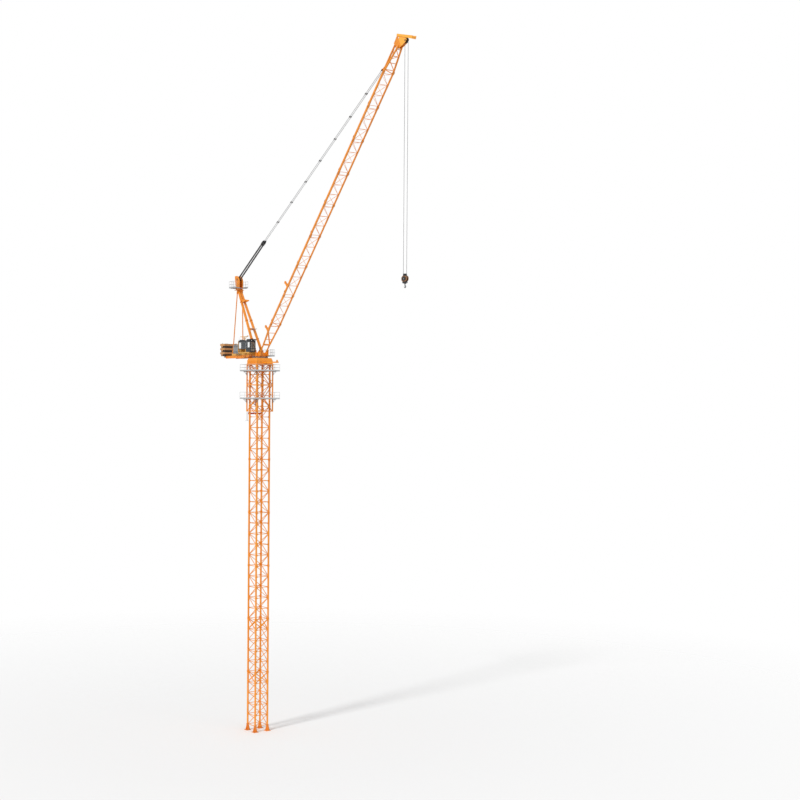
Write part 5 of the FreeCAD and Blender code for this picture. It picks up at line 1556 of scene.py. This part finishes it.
def side_platform():
    """Railed grating landing on the left of the slewing platform."""
    low, high = node_box("side_platform")
    floor = 6055.0
    shape = Shape()
    inner = 105.0
    grating(shape, (low.x, 70.0), (inner, high.y), floor)
    grating(shape, (70.0, high.x), (inner - 14.0, high.y), floor)
    edge = railing_tube
    corners = [
        Vector((low.x + edge, inner + edge, 0)), Vector((low.x + edge, high.y - edge, 0)),
        Vector((high.x - edge, high.y - edge, 0)), Vector((high.x - edge, inner + edge, 0)),
    ]
    railing(shape, corners, floor)
    for x in (low.x + 13, 57.0):
        shape.rod(zinc_deck, (x, inner, floor - 7), (x, high.y - 10, floor - 7), 2.2, sides=8)
    piece("side_landing", shape, "upperworks", replaces=("side_platform",))


# ==== Jib ====


def jib_lacing():
    """Round lacing tubes between the chords of every jib section."""
    sides, bottom = Shape(), Shape()
    span = (jib_section_length - 2 * section_margin) / lacing_panels
    reach_y = jib_half_width - 5.0
    for section in range(jib_sections):
        start = jib_foot_length + section * jib_section_length + section_margin
        for side in (-1, 1):
            sizes = {
                "Step": span / 2, "Points": 2 * lacing_panels + 1, "Reach Y": -side * (reach_y - 4.0),
                "Reach Z": jib_height - 2 * chord_half + 4.0, "Tube Radius": lacing_radius,
            }
            place = jib_place(start, side * reach_y, chord_half - 2.0)
            sides.grown(orange_crane, LACINGS, sizes, place)
        reach = 2 * (jib_half_width - chord_half + 2.0)
        first = -1 if section % 2 == 0 else 1
        sizes = {
            "Step": span, "Points": lacing_panels + 1, "Reach Y": -first * reach, "Reach Z": 0.0,
            "Tube Radius": lacing_radius,
        }
        bottom.grown(orange_crane, LACINGS, sizes, jib_place(start, first * reach / 2, 0.0))
        for node in range(lacing_panels + 1):
            u = start + node * span
            bottom.rod(
                orange_crane, jib_point(u, -reach / 2, 0), jib_point(u, reach / 2, 0), lacing_radius, sides=8,
            )
    piece("jib_side_lacing_tubes", sides, "jib", replaces=("jib_lacing_sides",))
    piece("jib_bottom_lacing_tubes", bottom, "jib", replaces=("jib_lacing_bottom",))


def chord_joints():
    """Pins, keeper clips and eye plates where the jib's sections are joined."""
    shape = Shape()
    for joint in range(jib_sections + 1):
        u = jib_foot_length + joint * jib_section_length
        for y, v in ((-jib_half_width, 0.0), (jib_half_width, 0.0), (0.0, jib_height)):
            centre = jib_place(u, y, v)
            shape.place = centre
            for offset in (-15.5, 12.5):
                shape.block(orange_crane, (-22, 22), (offset, offset + 3), (-9, 9))
            shape.rod(dark_steel, (0, -19, 0), (0, 19, 0), 5.0, sides=14)
            shape.rod(steel, (0, 19, 0), (0, 21.5, 0), 7.0, sides=14)
            shape.rod(steel, (-6, -18, -6), (7, -18, 7), 0.9, sides=6)
    shape.place = Matrix.Identity(4)
    piece("jib_joint_pins", shape, "jib")


def foot_and_head_fittings():
    """Bushes on the jib's foot, bolts and rope guards on its head."""
    shape = Shape()
    for side in (-1, 1):
        lug = jib_point(0, side * 58.0, 0)
        bush = [(8.4, -9), (13.5, -9), (13.5, 9), (8.4, 9)]
        shape.lathe(steel, bush, lug, lug + ACROSS, steps=24)
        axle = head_axle + ACROSS * side * 26
        shape.rod(steel, axle, axle + ACROSS * side * 5, 11.0, sides=22)
        place = towards(axle, axle + ACROSS * side)
        bolt_circle(shape, dark_steel, 16.0, 0.0, 6, place=place, bolt=2.4, height=2.4)
        for u, v in ((5560, 4), (5560, 60), (5560, 112), (5620, 116), (5590, -60), (5640, -84)):
            spot = jib_point(u, side * 26, v)
            shape.bolt(dark_steel, spot, (0, side, 0), 2.6, 2.2)
    for u, v in ((5688 + 46, -77), (5688 - 20, -77 + 44), (5688 + 18, -77 + 43)):
        guard = jib_point(u, 0, v)
        shape.rod(zinc, guard - ACROSS * 26, guard + ACROSS * 26, 2.4, sides=10)
    piece("jib_end_fittings", shape, "jib")


def head_sheave():
    """Hoist sheave at the jib's head."""
    shape = Shape()
    sheave(shape, black_paint, head_axle, sheave_radius, 18.0, 7.2, steps=48)
    piece("hoist_head_sheave", shape, "jib", replaces=("head_sheave",))


def pendant_line_ends():
    """Where the pendants start at the jib and end at the luffing block."""
    station = jib_point(pendant_u, 0, pendant_v)
    tackle = jib_point(luffing_block_u, 0, luffing_block_v)
    run = (tackle - station).normalized()
    return station + run * 5.2, tackle - run * (luffing_block_length / 2), run, tackle


def pendants():
    """Two lines of flat tie bars, with a dark pinned link between bars."""
    start, end, run, tackle = pendant_line_ends()
    length = (end - start).length
    bars, link = Shape(), Shape()
    for offset in (-6.0, 3.6):
        link.block(black_paint, (offset, offset + 2.4), (-6.0, 6.0), (0, coupler_length))
    for z in (6.0, coupler_length - 6.0):
        link.rod(black_paint, (-8.0, 0, z), (8.0, 0, z), 3.0, sides=10)
    for side in (-1, 1):
        first = start + ACROSS * side * pendant_half_spacing
        place = towards(first, first + run, ACROSS)
        bars.block(pendant_zinc, (-3.2, 3.2), (-3.5, 3.5), (0, length), place=place)
        row(bars, black_paint, link, 0.0, length / pendant_bars, pendant_bars, place=place)
    piece("pendant_bars", bars, "jib", replaces=("pendants",))


def luffing_block():
    """Luffing block: two cheeks with straps, a row of sheaves and the pins at its ends."""
    start, end, run, tackle = pendant_line_ends()
    shape = Shape()
    shape.place = towards(end, end + run, ACROSS)
    length = luffing_block_length
    half_width, half_depth = 23.0, 22.0
    for side in (-1, 1):
        face = side * half_width
        outline = [
            (face, -9, 0), (face, -half_depth, 34), (face, -half_depth, length - 10), (face, -12, length),
            (face, 12, length), (face, half_depth, length - 10), (face, half_depth, 34), (face, 9, 0),
        ]
        shape.plate(black_paint, outline, (-side * 4.0, 0, 0))
        shape.block(black_paint, (face, face + side * 3), (-6, 6), (6, length - 24))
    for z in (10.0, length - 30.0, 44.0):
        shape.rod(dark_steel, (-half_width - 5, 0, z), (half_width + 5, 0, z), 5.0, sides=16)
    shape.block(black_paint, (-half_width, half_width), (-half_depth, -half_depth + 3), (36, length - 14))
    shape.block(black_paint, (-half_width, half_width), (half_depth - 3, half_depth), (36, length - 14))
    shape.block(black_paint, (-half_width + 4, half_width - 4), (-8, 8), (2, 26))
    shape.place = Matrix.Identity(4)
    centre = end + run * (length - 30.0)
    for part in range(luffing_rope_parts):
        y = (part - (luffing_rope_parts - 1) / 2) * luffing_rope_pitch
        sheave(shape, black_paint, centre + ACROSS * y, 24.0, 7.0, 5.2, steps=28)
    piece("luffing_block_assembly", shape, "jib", replaces=("luffing_block",))


def luffing_ropes():
    """Parts of the luffing rope between the A-frame's head and the block."""
    start, end, run, tackle = pendant_line_ends()
    block_centre = end + run * (luffing_block_length - 30.0)
    toward = (block_centre - luffing_head).normalized()
    square = toward.cross(ACROSS).normalized()
    shape = Shape()
    for part in range(luffing_rope_parts):
        y = (part - (luffing_rope_parts - 1) / 2) * luffing_rope_pitch
        for side in (-1, 1):
            first = luffing_head + ACROSS * y + square * side * 24.6
            last = block_centre + ACROSS * y + square * side * 21.8
            shape.rod(rope, first, last, rope_radius, sides=12)
    thing = bpy.data.objects.new("luffing_rope_parts", shape.as_mesh("luffing_rope_parts"))
    bpy.context.scene.collection.objects.link(thing)
    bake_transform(thing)
    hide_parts("luffing_ropes")


# ==== Hook ====


def hoist_falls():
    """Two rope falls between the head sheave and the hook block."""
    shape = Shape()
    for side in (-1, 1):
        x = head_axle.x + side * (sheave_radius * 0.9 + rope_radius)
        shape.rod(falls_rope, (x, 0, block_axle.z), (x, 0, head_axle.z), rope_radius, sides=12)
    thing = bpy.data.objects.new("hoist_rope_falls", shape.as_mesh("hoist_rope_falls"))
    bpy.context.scene.collection.objects.link(thing)
    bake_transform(thing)
    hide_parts("hoist_falls")


def hook_block():
    """Hook block: oval cheeks, weights, axle, black crown and swivel head."""
    low, high = node_box("hook_block")
    shape = Shape()
    x, z = block_axle.x, block_axle.z
    reach, rise = 62.0, 46.0
    corner_steps = 28
    outline = []
    for step in range(corner_steps):
        angle = 2 * math.pi * step / corner_steps
        spread = abs(math.cos(angle)) ** 0.75 * (1 if math.cos(angle) >= 0 else -1)
        lift = abs(math.sin(angle)) ** 0.85 * (1 if math.sin(angle) >= 0 else -1)
        outline.append((x + reach * spread, 0, z + rise * 0.93 * lift))
    for side in (-1, 1):
        cheek = [(point[0], side * 12.0, point[2]) for point in outline]
        shape.plate(tan_paint, cheek, (0, side * 7.0, 0))
        inner = [(x + (point[0] - x) * 0.72, side * 19.0, z + (point[2] - z) * 0.72) for point in outline]
        shape.plate(black_paint, inner, (0, side * 3.0, 0))
        cap = Vector((x, side * 22.0, z))
        shape.rod(steel, cap, cap + ACROSS * side * 3, 11.0, sides=24)
        bolt_circle(
            shape, dark_steel, 17.0, 0.0, 6, place=towards(cap, cap + ACROSS * side), bolt=2.4, height=2.2
        )
    shape.rod(steel, (x, -19, z), (x, 19, z), 7.0, sides=20)
    shape.block(black_paint, (x - 22, x + 22), (-19, 19), (z + rise * 0.8, high.z))
    for side in (-1, 1):
        guide = Vector((x + side * 38.0, 0, z + rise * 0.72))
        shape.lathe(dark_steel, [(4.2, 0), (8, 0), (8, 16), (4.2, 16)], guide, guide + UP, steps=18)
    shape.block(black_paint, (x - 36, x + 36), (-19, 19), (low.z + 8, z - rise + 8))
    shape.rod(dark_steel, (x, 0, low.z), (x, 0, low.z + 8), 20.0, sides=28)
    shape.rod(steel, (x - 40, 0, low.z + 17), (x + 40, 0, low.z + 17), 7.0, sides=18)
    piece("hook_block_body", shape, "block", replaces=("hook_block",), bevel=1.0)


def block_sheave():
    """Sheave in the hook block."""
    shape = Shape()
    sheave(shape, black_paint, block_axle, sheave_radius, 18.0, 7.2, steps=48)
    piece("hook_block_sheave", shape, "block", replaces=("block_sheave",))


def hook():
    """Forged hook that thickens through its bowl, with its shank nut and a safety latch."""
    low, high = node_box("hook")
    x = block_axle.x
    shape = Shape()
    centre = Vector((x, 0, low.z + 21.5))
    shape.rod(steel, (x, 0, high.z - 5), (x, 0, high.z), 10.0, sides=24)
    points, radii = [], []
    steps = 26
    points.append(Vector((x, 0, high.z - 4)))
    radii.append(6.0)
    points.append(Vector((x, 0, high.z - 14)))
    radii.append(6.2)
    for step in range(steps + 1):
        angle = math.radians(88 - 292 * step / steps)
        share = step / steps
        bowl = 16.0
        points.append(centre + Vector((bowl * math.cos(angle), 0, bowl * math.sin(angle))))
        radii.append(
            5.2 + 2.2 * math.sin(math.pi * min(1.0, share * 1.35)) - 3.4 * max(0.0, share - 0.7) / 0.3,
        )
    shape.sweep(dark_steel, points, radii, sides=16)
    tip = points[-1]
    hinge = Vector((x - 1, 0, high.z - 16))
    shape.rod(steel, hinge - ACROSS * 6, hinge + ACROSS * 6, 1.6, sides=10)
    shape.block(zinc, (-2.5, 2.5), (-0.8, 0.8), (0, (tip - hinge).length), place=towards(hinge, tip))
    piece("forged_hook", shape, "hook_body", replaces=("hook",))


# ==== Finishes of the pieces that stay as built ====


def finish_cad_nodes():
    """Gives every shown structural node its finish."""
    for name, thing in frame["nodes"].items():
        if name == "foundation_feet":
            finish = foot_paint
        elif name.startswith(("tower_", "cage_")) or name in ("ring_support", "feed_beam"):
            finish = orange_tower
        elif name == "slewing_ring":
            # Slewing ring in darkened orange: painted shade.
            finish = ring_painted_shade
        elif name == "hanging_ladder":
            finish = zinc
        elif name in ("cab_shell", "cab_roof"):
            finish = cab_dark
        elif name in ("cab_carrier", "machine_bed", "winch_frame", "service_davit"):
            finish = gold_paint
        elif name == "control_cabinet":
            finish = cabinet_grey
        elif name == "jib_head":
            finish = head_paint
        else:
            finish = orange_crane
        thing.data.materials.clear()
        thing.data.materials.append(finish)


def nose_plane():
    """Direction and distance, in metres, of the plane where the jib head's nose beam begins."""
    lean = Vector((0.86, 0.0, 0.51)).normalized()
    point = jib_point(5640, 0, 130) * METRES
    return lean, lean.dot(point)


nose_direction, nose_distance = nose_plane()
head_paint = two_tone_paint(
    "jib_head_paint", ORANGE, (0.95, 0.42, 0.045), ORANGE_SHADE, nose_direction, nose_distance, 0.004
)


# ==== Studio ====


def studio():
    """Pale floor that fades into the backdrop, soft lights and the camera."""
    floor = bpy.data.meshes.new("studio_floor")
    shape = bmesh.new()
    bmesh.ops.create_circle(shape, cap_ends=True, segments=96, radius=40.0)
    shape.to_mesh(floor)
    shape.free()
    ground = bpy.data.objects.new("studio_floor", floor)
    bpy.context.scene.collection.objects.link(ground)
    finish, graph, shader, coordinates = new_finish("studio_floor_finish")
    shader.inputs["Base Color"].default_value = (0.9, 0.9, 0.9, 1.0)
    shader.inputs["Roughness"].default_value = 0.9
    distance = graph.add("ShaderNodeVectorMath", {0: coordinates}, operation="LENGTH").outputs["Value"]
    graph.tree.links.new(window(graph, distance, 3.0, 14.0, 1.0, 0.0), shader.inputs["Alpha"])
    floor.materials.append(finish)

    world = bpy.data.worlds.new("studio")
    world.use_nodes = True
    backdrop = world.node_tree.nodes["Background"]
    backdrop.inputs["Color"].default_value = (1.0, 1.0, 1.0, 1.0)
    sky = Graph(world.node_tree)
    seen = sky.add("ShaderNodeLightPath").outputs["Is Camera Ray"]
    world.node_tree.links.new(window(sky, seen, 0.0, 1.0, 0.62, 1.0), backdrop.inputs["Strength"])
    bpy.context.scene.world = world

    for name, direction, power, spread in (
        ("key_light", (-0.25, 1.0, -0.7), 2.0, 9.0),
        ("fill_light", (-1.0, -0.1, -0.35), 0.4, 40.0),
    ):
        light = bpy.data.lights.new(name, "SUN")
        light.energy = power
        light.angle = math.radians(spread)
        lamp = bpy.data.objects.new(name, light)
        lamp.rotation_euler = Vector(direction).to_track_quat("-Z", "Y").to_euler()
        bpy.context.scene.collection.objects.link(lamp)

    camera_data = bpy.data.cameras.new("camera")
    camera_data.lens = 65.25
    camera_data.sensor_width = 36.0
    camera_data.clip_end = 200.0
    camera = bpy.data.objects.new("camera", camera_data)
    camera.location = (20.13, -12.26, 5.356)
    level = Vector((-0.8, 0.6, 0.0)).to_track_quat("-Z", "Y").to_matrix().to_4x4()
    roll = Matrix.Rotation(0.0069, 4, "Z")
    camera.rotation_euler = (level @ roll).to_euler()
    bpy.context.scene.collection.objects.link(camera)
    bpy.context.scene.camera = camera
    bpy.context.scene.view_settings.view_transform = "Standard"


studio()
leg_couplers()
brace_gussets()
foot_fittings()
cage_rollers()
cage_fittings()
deck("lower_deck_grating", "lower_deck")
deck("upper_deck_grating", "upper_deck")
deck_railings()
climbing_gear()
ring_fittings()
platform_fittings()
counter_jib()
bed_floor()
for slab in range(3):
    ballast(slab)
a_frame_fittings()
luffing_head_sheaves()
head_platform()
mid_platform()
cab_panes()
cab_trim()
roof_fittings()
winch_drums()
winch_frame_fittings()
cabinet_fittings()
side_platform()
jib_lacing()
chord_joints()
foot_and_head_fittings()
head_sheave()
pendants()
luffing_block()
luffing_ropes()
hoist_falls()
hook_block()
block_sheave()
hook()
finish_cad_nodes()
